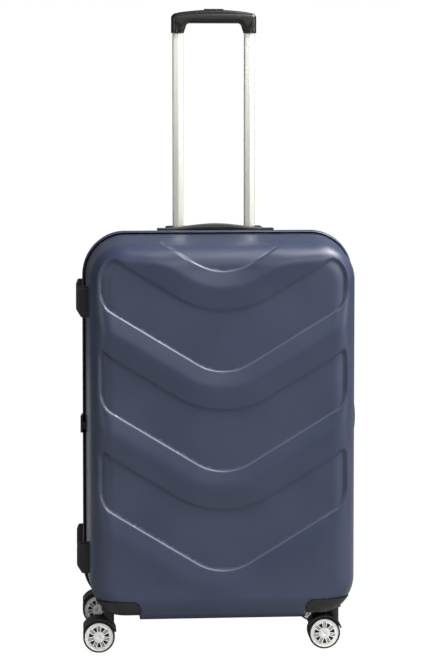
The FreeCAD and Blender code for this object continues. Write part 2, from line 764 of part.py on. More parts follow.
DIAL_PITCH = 7.0
DIAL_THICK = 5.2
SPINDLE_RADIUS = 1.5
dial_x = "case_half_width - 1"
dial_y = "case_rim + 2 + lock_broad / 2"
housing = rounded(lock_block("2.5"), 3.0, along("x"))
wells = []
for step in (-1, 0, 1):
    z = "lock_level + %s" % (step * DIAL_PITCH - DIAL_THICK / 2 - 0.3)
    wells.append(rod("z", dial_x, dial_y, z, "dial_radius + 0.5", DIAL_THICK + 0.6))
BUTTON_SIDE = 9.0
button_well = block(
    "case_half_width - 8", "%s - %s" % (dial_y, BUTTON_SIDE / 2 + 0.3), "lock_level + 14.7",
    "30", BUTTON_SIDE + 0.6, BUTTON_SIDE + 0.6,
)
spindle = rod("z", dial_x, dial_y, "lock_level - 12", SPINDLE_RADIUS, "24")
keep(fuse(cut(housing, *wells, button_well), spindle), "lock_housing")
for order, step in enumerate((1, 0, -1), 1):
    z = "lock_level + %s" % (step * DIAL_PITCH - DIAL_THICK / 2)
    dial = rod("z", dial_x, dial_y, z, "dial_radius", DIAL_THICK)
    bore = rod("z", dial_x, dial_y, "lock_level - 20", "%s + running" % SPINDLE_RADIUS, "40")
    keep(cut(dial, bore), "lock_dial_%d" % order)
push = block(
    "case_half_width - 5.5", "%s - %s" % (dial_y, BUTTON_SIDE / 2), "lock_level + 15",
    "9.5", BUTTON_SIDE, BUTTON_SIDE,
)
keep(rounded(push, 1.5, along("x")), "lock_button")

SLIDER_LEVELS = {"upper": 632.0, "lower": 594.0}
for name, level in SLIDER_LEVELS.items():
    shell_x = "case_half_width - lid_inset + 1.6"
    slide = rounded(block(shell_x, "zip_plane - 4.2", level - 7, "3.6", "8.4", "14"), 1.5, along("x"))
    eye = block(shell_x + " + 3", "zip_plane - 1.5", level + 1, "2.6", "3", "4")
    tab = rounded(block(shell_x + " + 4.4", "zip_plane - 3", level - 19, "1.6", "6", "24"), 1.0, along("x"))
    keep(fuse(slide, eye, tab), "zip_slider_" + name)


# --- The wheel housings and the casters ---------------------------------------------------------

# The ring inside each housing that holds the stem, and the depth of its bore.
BOSS_RADIUS = 13.0
BOSS_TALL = 10.0
STEM_BORE_TALL = 24.0


def wheel_housings(half):
    """The two moulded corner blocks of one half: the corner's own shape, flat below, bored for stems."""
    sign = 1 if half["back"] else -1
    depth = "%d * stem_depth" % sign
    body = common(envelope(half, "0"), housing_room(half, "-0.1"))
    below = block("-300", "-200", "0", "600", "400", "housing_under")
    bosses = []
    bores = []
    for side in SIDES:
        x = "%d * stem_side" % side
        bosses.append(rod("z", x, depth, "housing_under", BOSS_RADIUS, BOSS_TALL))
        bores.append(rod("z", x, depth, "housing_under - 1", "stem_radius + running", STEM_BORE_TALL + 1))
    return cut(fuse(cut(body, below), *bosses), *bores)


keep(wheel_housings(CASE), "wheel_housings_rear")
keep(wheel_housings(LID), "wheel_housings_front")

# The fork's web stands between the wheels, under a fender that arches from its tip to its tail.
WEB_HALF = 3.5
WEB_GAP = 0.7
FENDER_IN = 29.2
FENDER_OUT = 32.2
FENDER_HALF = 19.0
TIP_ANGLE = 18.0
TAIL_ANGLE = 150.0
COLUMN_RADIUS = 9.0
COLUMN_GAP = 0.6
SPOKES = 7


def fork(stem_x, stem_y):
    """A caster's swivelling arm: stem, column, web between the wheels, and the fender over them."""
    hub_x = "%s - trail" % stem_x
    fender_low = "%s - %s" % (stem_y, FENDER_HALF)
    outer = rod("y", hub_x, fender_low, "wheel_radius", FENDER_OUT, 2 * FENDER_HALF)
    inner = rod("y", hub_x, fender_low + " - 1", "wheel_radius", FENDER_IN, 2 * FENDER_HALF + 2)
    wedge = doc.addObject("Part::Cylinder", "Wedge")
    upright = FreeCAD.Rotation(Vec(1, 0, 0), 90)
    wedge.Placement = FreeCAD.Placement(Vec(), FreeCAD.Rotation(Vec(0, 1, 0), -TIP_ANGLE) * upright)
    bind(wedge, Radius="60", Height="60", Angle=str(TAIL_ANGLE - TIP_ANGLE))
    bind(wedge, Placement__Base__x=hub_x, Placement__Base__z="wheel_radius")
    bind(wedge, Placement__Base__y="%s + 30" % stem_y)
    fender = common(cut(outer, inner), wedge)
    disc = rod("y", hub_x, "%s - %s" % (stem_y, WEB_HALF), "wheel_radius", FENDER_IN + 1, 2 * WEB_HALF)
    web = common(disc, wedge)
    boss = rod("y", hub_x, "%s - %s" % (stem_y, WEB_HALF), "wheel_radius", 7.0, 2 * WEB_HALF)
    column = rod("z", stem_x, stem_y, "35", COLUMN_RADIUS, "housing_under - %s - 35" % COLUMN_GAP)
    stem = rod("z", stem_x, stem_y, "60", "stem_radius", "housing_under + %s - 1 - 60" % STEM_BORE_TALL)
    hole = rod("y", hub_x, "%s - 50" % stem_y, "wheel_radius", "axle_radius", "100")
    return cut(fuse(fender, web, boss, cut(column, inner), stem), hole)


def wheel_profile(body, points):
    """Turns a closed outline of (radius, distance along the axle) points about the wheel's own Y axis."""
    sketch = new_sketch(body, "XY_Plane")
    polygon(sketch, points)
    turn = body.newObject("PartDesign::Revolution", "Turned")
    turn.Profile = sketch
    turn.ReferenceAxis = (sketch, ["V_Axis"])
    turn.Angle = 360
    doc.recompute()
    return turn


def spokes(body, turn, points):
    """Cuts one window through the wheel's disc and repeats it round the axle."""
    sketch = new_sketch(body, "XZ_Plane")
    polygon(sketch, points)
    pocket = body.newObject("PartDesign::Pocket", "Window")
    pocket.Profile = sketch
    pocket.Type = 1
    pocket.Midplane = True
    doc.recompute()
    pattern = body.newObject("PartDesign::PolarPattern", "Windows")
    pattern.Originals = [pocket]
    axis = [item for item in body.Origin.OriginFeatures if item.Role == "Y_Axis"]
    pattern.Axis = (axis[0], [""])
    pattern.Angle = 360
    pattern.Occurrences = SPOKES
    body.Tip = pattern
    doc.recompute()
    return pattern


def rim():
    """A wheel's rim: hub with a blind bore, spoked disc and drum, outer face towards +Y.

    Seven wide windows alternate with seven narrow slots, so that the spokes stand in pairs.
    """
    body = doc.addObject("PartDesign::Body", "Rim")
    bore = "axle_radius + running"
    turn = wheel_profile(body, [
        (bore, 0.0), (6.5, 0.0), (8.0, 10.2), (21.0, 10.8), (21.8, 0.5), ("rim_radius", 0.5),
        ("rim_radius", 13.0), (23.6, 13.6), (9.2, 12.9), (8.6, 14.2), (0.0, 14.2), (0.0, 12.0),
        (bore, 12.0),
    ])
    half = math.radians(180.0 / SPOKES)
    spokes(body, turn, [(-1.6, 10.6), (1.6, 10.6), (4.9, 17.6), (-4.9, 17.6)])
    slot = []
    for x, z in ((-0.8, 10.6), (0.8, 10.6), (0.8, 18.4), (-0.8, 18.4)):
        slot.append((x * math.cos(half) + z * math.sin(half), z * math.cos(half) - x * math.sin(half)))
    spokes(body, turn, slot)
    return body


def tyre():
    """A wheel's tyre: a plain ring with broken outer edges."""
    body = doc.addObject("PartDesign::Body", "Tyre")
    wheel_profile(body, [
        ("rim_radius", 0.6), ("wheel_radius - 1", 0.6), ("wheel_radius", 1.8), ("wheel_radius", 11.8),
        ("wheel_radius - 0.6", 13.0), ("wheel_radius - 1.8", 13.8), ("rim_radius", 13.8),
    ])
    return body


HALF_TURN = FreeCAD.Rotation(Vec(0, 0, 1), 180)
for end, end_sign in (("front", -1), ("rear", 1)):
    for side, side_sign in (("left", -1), ("right", 1)):
        corner = "%s_%s" % (end, side)
        stem_x, stem_y = "%d * stem_side" % side_sign, "%d * stem_depth" % end_sign
        keep(fork(stem_x, stem_y), "caster_fork_" + corner)
        hub_x = "%s - trail" % stem_x
        reach = WEB_HALF + WEB_GAP + 11.5
        axle = rod("y", hub_x, "%s - %s" % (stem_y, reach), "wheel_radius", "axle_radius", 2 * reach)
        keep(axle, "caster_axle_" + corner)
        for face, face_sign in (("outer", -1), ("inner", 1)):
            turn = HALF_TURN if face_sign < 0 else FreeCAD.Rotation()
            y = "%s + %s" % (stem_y, face_sign * (WEB_HALF + WEB_GAP))
            which = "a" if face_sign < 0 else "b"
            keep(turned(rim(), turn, hub_x, y, "wheel_radius"), "rim_%s_%s" % (corner, which))
            keep(turned(tyre(), turn, hub_x, y, "wheel_radius"), "tyre_%s_%s" % (corner, which))


# --- Check every object, then write one file for each piece -------------------------------------

doc.recompute()
for thing in doc.Objects:
    if "Invalid" in thing.State or "Error" in thing.State:
        raise RuntimeError("%s (%s) failed: %s" % (thing.Name, thing.Label, thing.State))
for thing in parts:
    if thing.Shape.isNull() or not thing.Shape.isValid():
        raise RuntimeError("%s has no valid shape" % thing.Label)
for thing in parts:
    thing.Shape.exportStep("parts/%s.step" % thing.Label)
    print("%-26s %2d solids %9.1f cm3" % (thing.Label, len(thing.Shape.Solids), thing.Shape.Volume / 1000))
print(len(parts), "pieces")
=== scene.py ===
import math

import bmesh
import bpy
import numpy as np
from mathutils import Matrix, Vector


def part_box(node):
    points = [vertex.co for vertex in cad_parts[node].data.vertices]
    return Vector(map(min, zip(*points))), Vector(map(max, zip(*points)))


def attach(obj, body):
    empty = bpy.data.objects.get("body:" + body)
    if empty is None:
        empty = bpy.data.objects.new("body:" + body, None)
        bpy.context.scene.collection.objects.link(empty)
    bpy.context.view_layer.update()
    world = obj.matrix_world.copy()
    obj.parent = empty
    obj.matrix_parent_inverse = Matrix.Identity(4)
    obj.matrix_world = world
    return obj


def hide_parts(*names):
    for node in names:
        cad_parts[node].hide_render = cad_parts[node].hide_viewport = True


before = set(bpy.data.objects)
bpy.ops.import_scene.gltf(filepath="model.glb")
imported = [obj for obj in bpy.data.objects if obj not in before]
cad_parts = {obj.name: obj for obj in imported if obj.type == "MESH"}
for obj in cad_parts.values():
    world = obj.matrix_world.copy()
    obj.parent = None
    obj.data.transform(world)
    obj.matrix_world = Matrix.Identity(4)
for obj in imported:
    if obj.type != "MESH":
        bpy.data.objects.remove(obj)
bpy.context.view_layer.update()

# --- The studio ------------
# A white sweep lit by soft boxes: two high at the right, one in front, one behind and one at each
# side. The camera stands over three and a half metres away, a little to the left, looking down.

LENS = 110.12
EYE = (-0.2553, -3.6262, 0.9865)
EYE_TURN = math.radians(3.957)
EYE_TILT = math.radians(2.98)

lens = bpy.data.cameras.new("studio_lens")
lens.sensor_width = 36.0
lens.lens = LENS
lens.shift_y = -0.2
eye = bpy.data.objects.new("studio_camera", lens)
eye.location = EYE
eye.rotation_euler = (math.pi / 2 - EYE_TILT, 0, -EYE_TURN)
bpy.context.collection.objects.link(eye)
bpy.context.scene.camera = eye
bpy.context.scene.view_settings.view_transform = "Standard"


def soft_box(name, place, aim, wide, tall, power):
    """A rectangular lamp at a place, turned to face a point, of a width, a height and a power in watts."""
    lamp = bpy.data.lights.new(name, "AREA")
    lamp.shape = "RECTANGLE"
    lamp.size = wide
    lamp.size_y = tall
    lamp.energy = power
    box = bpy.data.objects.new(name, lamp)
    away = np.subtract(aim, place)
    flat = math.hypot(away[0], away[1])
    box.location = place
    box.rotation_euler = (math.atan2(flat, -away[2]), 0, math.atan2(-away[0], away[1]))
    bpy.context.collection.objects.link(box)
    return box


soft_box("over_box", (1.1, -0.5, 2.6), (0.05, 0, 0.6), 2.6, 1.2, 84)
soft_box("spark_box", (1.5, -0.45, 2.6), (0.2, -0.1, 0.7), 0.5, 0.5, 34)
soft_box("front_box", (1.3, -4.2, 2.2), (0, 0, 0.5), 3.0, 1.5, 42)
soft_box("right_box", (2.7, -1.7, 1.4), (0.1, 0, 0.5), 0.7, 2.0, 38)
soft_box("left_box", (-2.6, -2.4, 1.3), (-0.1, 0, 0.5), 0.5, 2.0, 20)
back_box = soft_box("back_box", (-0.8, 3.4, 1.6), (0, 0, 0.4), 2.6, 1.8, 60)
back_box.visible_glossy = False


class Wire:
    """One output of a material's node, on which sums and products are written as spoken."""

    def __init__(self, finish, socket):
        self.finish = finish
        self.socket = socket

    def maths(self, operation, other):
        return self.finish.node("Math", {"operation": operation}, {0: self, 1: other})

    def __add__(self, other):
        return self.maths("ADD", other)

    __radd__ = __add__

    def __sub__(self, other):
        return self.maths("SUBTRACT", other)

    def __mul__(self, other):
        return self.maths("MULTIPLY", other)

    __rmul__ = __mul__

    def between(self, low, high):
        """0 up to low, 1 from high on, smooth between them."""
        settings = {"interpolation_type": "SMOOTHSTEP"}
        return self.finish.node("MapRange", settings, {"Value": self, "From Min": low, "From Max": high})


class Finish:
    """A material being written: its nodes and the principled shader that they feed."""

    def __init__(self, name, **plain):
        self.material = bpy.data.materials.new(name)
        self.material.use_nodes = True
        self.tree = self.material.node_tree
        self.shader = self.tree.nodes["Principled BSDF"]
        for word, value in plain.items():
            self.shader.inputs[word.replace("_", " ")].default_value = value

    def node(self, kind, settings, values, output=0):
        """Adds a node of a type, sets it up, and gives its sockets their values or links."""
        made = self.tree.nodes.new("ShaderNode" + kind)
        for word, value in settings.items():
            setattr(made, word, value)
        for word, value in values.items():
            if isinstance(value, Wire):
                self.tree.links.new(value.socket, made.inputs[word])
            else:
                made.inputs[word].default_value = value
        return Wire(self, made.outputs[output])

    def place(self):
        return self.node("TexCoord", {}, {}, "Object")

    def cloud(self, scale, detail=2.0, stretch=(1, 1, 1)):
        """Soft noise on the object's own coordinates, so many patches a metre."""
        spot = self.node("Mapping", {}, {"Vector": self.place(), "Scale": stretch})
        return self.node("TexNoise", {}, {"Vector": spot, "Scale": scale, "Detail": detail})

    def threads(self, direction, scale, distortion=0.0):
        """Parallel threads, waves of 0 to 1 on the object's own coordinates."""
        values = {"Vector": self.place(), "Scale": scale, "Distortion": distortion}
        return self.node("TexWave", {"bands_direction": direction}, values, 1)

    def weave(self, scale, distortion=0.0):
        """The threads of a plain weave, crossing each other."""
        return (self.threads("X", scale, distortion) + self.threads("Z", scale, distortion)) * 0.5

    def mix(self, mask, first, second):
        """A colour from first where the mask is 0 to second where it is 1."""
        first, second = (word if isinstance(word, Wire) else (*word, 1) for word in (first, second))
        return self.node("Mix", {"data_type": "RGBA"}, {0: mask, 6: first, 7: second}, 2)

    def feed(self, word, wire):
        self.tree.links.new(wire.socket, self.shader.inputs[word])

    def tint(self, mask, first, second):
        self.feed("Base Color", self.mix(mask, first, second))

    def bump(self, height, distance):
        """Feeds the shader's normal from a height between 0 and 1 that is distance metres deep."""
        self.feed("Normal", self.node("Bump", {}, {"Height": height, "Distance": distance}))


def mottled(name, patches, colours, roughness, grain=None, **plain):
    """A finish whose colour and roughness drift over soft patches, with a fine grain if one is given."""
    finish = Finish(name, **plain)
    tone = finish.cloud(*patches)
    finish.tint(tone, *colours)
    finish.feed("Roughness", roughness[0] + roughness[1] * tone)
    if grain:
        finish.bump(finish.cloud(*grain[:-1]), grain[-1])
    return finish


def paint(piece, finish):
    """Gives a piece one finish."""
    piece.data.materials.clear()
    piece.data.materials.append(finish.material)


def repaint(finish, *nodes):
    """Gives the nodes of the frame one finish."""
    for node in nodes:
        paint(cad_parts[node], finish)


FLOOR_REACH = 30.0
FLOOR_GLOW = 1.12
FLOOR_HIDDEN = 0.9
AIR_DIM = 0.30


def show_white(tree, mask, real, white, end):
    """Lays a white shade over the real one as far as the mask says, for the camera's eye."""
    blend = tree.nodes.new("ShaderNodeMixShader")
    for place, source in enumerate((mask, real, white)):
        tree.links.new(source, blend.inputs[place])
    tree.links.new(blend.outputs[0], tree.nodes[end].inputs["Surface"])


floor_finish = Finish("studio_floor", Base_Color=(0.36, 0.36, 0.36, 1), Roughness=0.9)
seen = floor_finish.node("LightPath", {}, {}, "Is Camera Ray") * FLOOR_HIDDEN
glow = floor_finish.tree.nodes.new("ShaderNodeEmission")
glow.inputs["Strength"].default_value = FLOOR_GLOW
floor_shade = floor_finish.shader.outputs[0]
show_white(floor_finish.tree, seen.socket, floor_shade, glow.outputs[0], "Material Output")
ground = bpy.data.meshes.new("studio_floor")
ground_corners = [(FLOOR_REACH * x, FLOOR_REACH * y, 0) for x, y in ((-1, -1), (1, -1), (1, 1), (-1, 1))]
ground.from_pydata(ground_corners, [], [(0, 1, 2, 3)])
floor = bpy.data.objects.new("studio_floor", ground)
bpy.context.collection.objects.link(floor)
paint(floor, floor_finish)

world = bpy.data.worlds.new("studio_air")
bpy.context.scene.world = world
world.use_nodes = True
air = world.node_tree
dim = air.nodes["Background"]
dim.inputs["Color"].default_value = (0.5, 0.5, 0.52, 1)
dim.inputs["Strength"].default_value = AIR_DIM
white = air.nodes.new("ShaderNodeBackground")
white.inputs["Color"].default_value = (1, 1, 1, 1)
path = air.nodes.new("ShaderNodeLightPath")
show_white(air, path.outputs["Is Camera Ray"], dim.outputs[0], white.outputs[0], "World Output")


# --- The two half shells ------------
# Each half is one sheet of polycarbonate, 3 mm thick, drawn over a mould: a tray with drafted walls,
# rounded corners, and sunk panels between chevron bands. Notches for the wheel housings and holes for
# the fittings are cut out of it afterwards.

WALL = 0.003
DRAFT = math.radians(3.0)
EDGE_ROUND = 0.042
REAR_CORNER = 0.078
LID_CORNER = REAR_CORNER - 0.006
LIP = 0.0022
CREASE_TOP = 0.676
CREASE_PITCH = 0.1752
CREASE_BEND = 0.089
BAND = 0.0656
RIDGE = 0.030
WING = math.radians(31.4)
BANDS = range(4)
SUNK = 0.008
BAND_TOP_SUNK = 0.0054
BAND_FOOT_SUNK = 0.0046
BAND_FADE = (-0.038, 0.007)
RIDGE_ROUND = 0.0014
LAST_FALL = 0.0026
LAST_FALL_RUN = 0.026
LAST_FALL_FADE = (0.085, 0.125)
PANEL_SHORE = 0.0272
PANEL_HEAD_ROUND = 0.010
PANEL_FOOT_ROUND = 0.020
PANEL_HEAD_SLOPE = 1.6
TOP_PANEL_FADE = (-0.092, -0.022)
STEP_HALF = 0.0014
CREASE_WIDTH = 0.0008
BEADS = {1: 0.0018, -1: 0.0009}
BEAD_PLACE = 0.0058
BEAD_HALF = 0.0020
FOOT_DROP = 0.0065


class Tray:
    """A shallow tray form over a rounded oblong, laid out flat on two parameters.

    The parameters (a, b) unroll the tray from the middle of its face. A point's distance from the
    rim, measured up the wall, is the smaller of the two distances to the layout's edges. The section
    is a small lip arc, a straight drafted wall, an arc onto the face, and the flat face. Round the
    outline, a point keeps its place along the straight side and is spread evenly over the corner.
    """

    def __init__(self, low, high, rim, face, corner, lip=LIP, edge_round=EDGE_ROUND):
        self.middle = ((low[0] + high[0]) / 2, (low[1] + high[1]) / 2)
        self.half = ((high[0] - low[0]) / 2, (high[1] - low[1]) / 2)
        self.rim = rim
        self.sign = 1 if face > rim else -1
        self.depth = abs(face - rim)
        self.corner = corner
        self.lip = lip
        self.edge_round = edge_round
        sin, cos = math.sin(DRAFT), math.cos(DRAFT)
        self.wall_start = lip * (1 + sin) / cos
        self.wall_end = (self.depth - edge_round + edge_round * sin) / cos
        self.lip_long = lip * (math.pi / 2 + DRAFT)
        self.wall_long = self.wall_end - self.wall_start
        self.arc_long = edge_round * (math.pi / 2 - DRAFT)
        self.face_start = self.wall_end * sin + edge_round * cos
        self.profile_long = self.lip_long + self.wall_long + self.arc_long
        self.reach = [self.profile_long + half - self.face_start for half in self.half]

    def section(self, along):
        """Inset from the rim's outline, depth from the rim, and tilt of the surface, up the wall."""
        sin, cos = math.sin(DRAFT), math.cos(DRAFT)
        on_lip = along < self.lip_long
        on_arc = along > self.lip_long + self.wall_long
        on_face = along > self.profile_long
        turn = np.clip(along, 0, self.lip_long) / self.lip - math.pi / 2
        round_run = np.minimum(along, self.profile_long) - self.lip_long - self.wall_long
        bend = round_run / self.edge_round + DRAFT
        run = self.wall_start + along - self.lip_long
        inset, depth = run * sin, run * cos
        lip_inset = self.wall_start * sin + self.lip * (cos - np.cos(turn))
        inset = np.where(on_lip, lip_inset, inset)
        depth = np.where(on_lip, self.lip * (1 + np.sin(turn)), depth)
        inset = np.where(on_arc, self.face_start - self.edge_round * np.cos(bend), inset)
        depth = np.where(on_arc, self.depth - self.edge_round * (1 - np.sin(bend)), depth)
        inset = np.where(on_face, self.face_start + along - self.profile_long, inset)
        tilt = np.where(on_lip, turn, np.where(on_arc, bend, DRAFT))
        return inset, depth, tilt

    def surface(self, spots):
        """Points, outward normals and distances from the rim for an array of (a, b) spots."""
        a, b = spots.T
        way_a, way_b = np.where(a < 0, -1, 1), np.where(b < 0, -1, 1)
        from_side = self.reach[0] - np.abs(a)
        from_end = self.reach[1] - np.abs(b)
        along = np.minimum(from_side, from_end)
        inset, depth, tilt = self.section(along)
        wide, tall = self.half[0] - inset, self.half[1] - inset
        corner = np.maximum(self.corner - inset, 0)
        at_side = from_side < from_end
        run = np.where(at_side, np.abs(b), np.abs(a))
        straight = np.where(at_side, tall, wide) - corner
        limit = np.where(at_side, self.reach[1], self.reach[0]) - along
        share = np.clip((run - straight) / np.maximum(limit - straight, 1e-9), 0, 1)
        angle = share * math.pi / 4
        kept = np.minimum(run, straight)
        first = kept + corner * np.sin(angle)
        second = np.where(at_side, wide, tall) - corner + corner * np.cos(angle)
        x = np.where(at_side, second, first) * way_a
        z = np.where(at_side, first, second) * way_b
        normal_x = np.where(at_side, np.cos(angle), np.sin(angle)) * way_a
        normal_z = np.where(at_side, np.sin(angle), np.cos(angle)) * way_b
        points = np.stack([self.middle[0] + x, self.rim + self.sign * depth, self.middle[1] + z], 1)
        out = np.stack([np.cos(tilt) * normal_x, self.sign * np.sin(tilt), np.cos(tilt) * normal_z], 1)
        return points, out, along

    def layout(self, wall_step, arc_step, face_step):
        """A grid of spots over the whole tray, as an array of spots and an array of triangles."""
        axes = []
        wall_end = self.lip_long + self.wall_long
        for axis in (0, 1):
            flat = self.half[axis] - self.face_start
            pieces = [
                np.linspace(0, self.lip_long, 5),
                self.lip_long + 0.0009 * np.arange(1, 7),
                np.linspace(self.lip_long + 0.007, wall_end, round(self.wall_long / wall_step)),
                wall_end + np.linspace(0, self.arc_long, round(self.arc_long / arc_step) + 1),
                self.profile_long + np.linspace(0, flat, round(flat / face_step) + 1),
            ]
            half = np.unique(np.round(np.concatenate(pieces), 9)) - self.reach[axis]
            half[-1] = 0
            axes.append(np.concatenate([half, -half[-2::-1]]))
        a, b = np.meshgrid(*axes, indexing="ij")
        spots = np.stack([a.ravel(), b.ravel()], 1)
        near, right, far, left = grid_faces(*a.shape, False, False).T
        rising = (spots[near].prod(1) + spots[far].prod(1)) > 0
        one = np.where(rising[:, None], np.stack([near, right, far], 1), np.stack([near, right, left], 1))
        two = np.where(rising[:, None], np.stack([near, far, left], 1), np.stack([right, far, left], 1))
        faces = np.concatenate([one, two])
        return spots, faces if self.sign < 0 else faces[:, ::-1]


def grid_faces(rows, columns, closed_rows=False, closed_columns=True):
    """Four-cornered faces over a grid of numbered points, row by row."""
    index = np.arange(rows * columns).reshape(rows, columns)
    if closed_rows:
        index = np.concatenate([index, index[:1]])
    if closed_columns:
        index = np.concatenate([index, index[:, :1]], 1)
    square = [index[:-1, :-1], index[1:, :-1], index[1:, 1:], index[:-1, 1:]]
    return np.stack([corner.ravel() for corner in square], 1)


def ease(low, high, value):
    """0 up to low, 1 from high on, and 3t^2 - 2t^3 between them."""
    t = np.clip((value - low) / (high - low), 0, 1)
    return t * t * (3 - 2 * t)


def nearer(first, second, corner):
    """The smaller of two distances inside a shape, with the shape's corner rounded to a radius."""
    least = np.minimum(first, second)
    round_off = corner - np.hypot(np.maximum(corner - first, 0), np.maximum(corner - second, 0))
    return np.where(least > corner, least, round_off)


def below_crease(points, order):
    """Distance below a band's upper crease: two straight wings joined by an arc."""
    across = np.abs(points[:, 0])
    rise = points[:, 2] - (CREASE_TOP - order * CREASE_PITCH + CREASE_BEND)
    on_wing = across * math.cos(WING) + rise * math.sin(WING) > 0
    wing = across * math.sin(WING) - rise * math.cos(WING)
    return np.where(on_wing, wing, np.hypot(across, rise)) - CREASE_BEND


def inside_panel(points, inward, order):
    """Distance inside the edge of a sunk panel, less than 0 outside it; its corners are rounded.

    Inward is the distance from the rounding's inner edge, measured over the surface to the middle.
    """
    foot = -below_crease(points, order)
    if order == 0:
        return foot
    head = (below_crease(points, order - 1) - BAND) / PANEL_HEAD_SLOPE
    side = inward + PANEL_SHORE
    return np.minimum(nearer(head, side, PANEL_HEAD_ROUND), nearer(foot, side, PANEL_FOOT_ROUND))


def relief(points, inward):
    """How far the face lies below the tray form: panels sunk evenly, bands ridged along the middle.

    Across a band, q below its crease, the depth is the larger of a slope r up to the ridge and a
    slope f down from it, rounded: (r + f + sqrt((r - f)^2 + round^2)) / 2. The last has no foot.
    """
    depth = np.zeros(len(points))
    sides = ease(*BAND_FADE, inward)
    for order in BANDS:
        last = order == BANDS[-1]
        q = below_crease(points, order)
        rising = BAND_TOP_SUNK * (1 - q / RIDGE)
        falling = BAND_FOOT_SUNK * (q - RIDGE) / (BAND - RIDGE)
        if last:
            falling = LAST_FALL * np.tanh((q - RIDGE) / LAST_FALL_RUN) * ease(*LAST_FALL_FADE, points[:, 2])
        ridge = (rising + falling + np.sqrt((rising - falling) ** 2 + RIDGE_ROUND ** 2)) / 2
        mine = (q > -0.02) & (q < BAND + (1.0 if last else 0.02))
        depth = np.maximum(depth, np.where(mine, np.clip(ridge, 0, SUNK) * sides, 0))
    for order in BANDS:
        step = np.clip(0.5 + inside_panel(points, inward, order) / (2 * STEP_HALF), 0, 1)
        if order == 0:
            step = step * ease(*TOP_PANEL_FADE, inward)
        depth = np.maximum(depth, SUNK * step)
    return depth


def edges_of(faces):
    """Every triangle's three edges, each from its lower numbered point to its higher one."""
    return np.sort(np.concatenate([faces[:, [0, 1]], faces[:, [1, 2]], faces[:, [2, 0]]]), axis=1)


def in_use(faces):
    """The points that the triangles use, and the triangles numbered over those points alone."""
    used, faces = np.unique(faces, return_inverse=True)
    return used, faces.reshape(-1, 3)


def inlay(spots, faces, level, nearby=0.0006):
    """Lays a line of mesh edges where level(spots) is 0.

    Spots nearer than a short distance are moved onto the line down the slope of the level, and each
    triangle that the line still crosses is divided there, on both sides of an edge alike.
    """
    values = level(spots)
    hop = 1e-4
    slope = np.stack([level(spots + step) - values for step in ((hop, 0), (0, hop))], 1) / hop
    steep = np.maximum((slope ** 2).sum(1), 0.2)
    close = np.abs(values) < nearby
    moved = spots - slope * (values / steep)[:, None]
    spots = np.where(close[:, None], moved, spots)
    values = np.where(close, 0, values)
    single, where = np.unique(edges_of(faces), axis=0, return_inverse=True)
    crossed = values[single[:, 0]] * values[single[:, 1]] < 0
    first, second = single[crossed].T
    share = values[first] / (values[first] - values[second])
    fresh = spots[first] + (spots[second] - spots[first]) * share[:, None]
    number = np.full(len(single), -1)
    number[crossed] = len(spots) + np.arange(len(fresh))
    cuts = number[where.ravel()].reshape(3, -1).T
    count = (cuts >= 0).sum(1)

    def turned(few, first):
        """Corners and cuts of the faces with so few cuts, each from a corner of its own onwards."""
        turn = (first[:, None] + np.arange(3)) % 3
        chosen = count == few
        return [np.take_along_axis(table, turn, 1)[chosen].T for table in (faces, cuts)]

    (apex, base, tip), (low, _, high) = turned(2, (cuts < 0).argmax(1) + 2)
    parts = [faces[count == 0], np.stack([apex, low, high], 1)]
    parts += [np.stack([low, base, tip], 1), np.stack([low, tip, high], 1)]
    (start, end, top), (middle, _, _) = turned(1, (cuts >= 0).argmax(1))
    parts += [np.stack([top, start, middle], 1), np.stack([top, middle, end], 1)]
    return np.concatenate([spots, fresh]), np.concatenate(parts)


def mesh_of(name, points, faces, smooth=True):
    """A mesh object at the origin from an array of points and a list of faces."""
    mesh = bpy.data.meshes.new(name)
    mesh.from_pydata(points.tolist(), [], faces)
    mesh.polygons.foreach_set("use_smooth", np.full(len(mesh.polygons), smooth))
    mesh.update()
    piece = bpy.data.objects.new(name, mesh)
    bpy.context.collection.objects.link(piece)
    return piece


def mark(piece, name, values):
    """Stores one number for each point of a piece, for its finish to read."""
    piece.data.attributes.new(name, "FLOAT", "POINT").data.foreach_set("value", values.astype(np.float32))


def thicken(piece, thickness):
    """Gives a surface its wall, on its inner side."""
    wall = piece.modifiers.new("wall", "SOLIDIFY")
    wall.thickness = thickness
    wall.offset = -1


def oblong_hole(points, middle, half, corner, axes):
    """Distance inside a rounded oblong hole, less than 0 outside it, across two of the axes."""
    away = np.abs(points[:, axes] - middle)
    return corner - np.hypot(*np.maximum(away - half + corner, 0).T)


HOUSING_INNER = 0.146
HOUSING_TOP = 0.098
HOUSING_BACK = 0.040
HOUSING_CORNER = 0.016
HANDLE_DEPTH = 0.070
LEG_SIDE = 0.096
SIDE_HANDLE_LEVEL = 0.388
HANDLE_HOLE = (0.008, 0.0095)
TROLLEY_DEPTH = 0.115
BEZEL_HOLE = (0.0905, 0.019)
LOCK_MIDDLE = (0.017, 0.613)
LOCK_HOLE = (0.012, 0.036)


def notch(points):
    """Distance inside the two corners that the wheel housings fill."""
    inner = nearer(np.abs(points[:, 0]) - HOUSING_INNER, HOUSING_TOP - points[:, 2], HOUSING_CORNER)
    return np.minimum(inner, np.abs(points[:, 1]) - HOUSING_BACK)


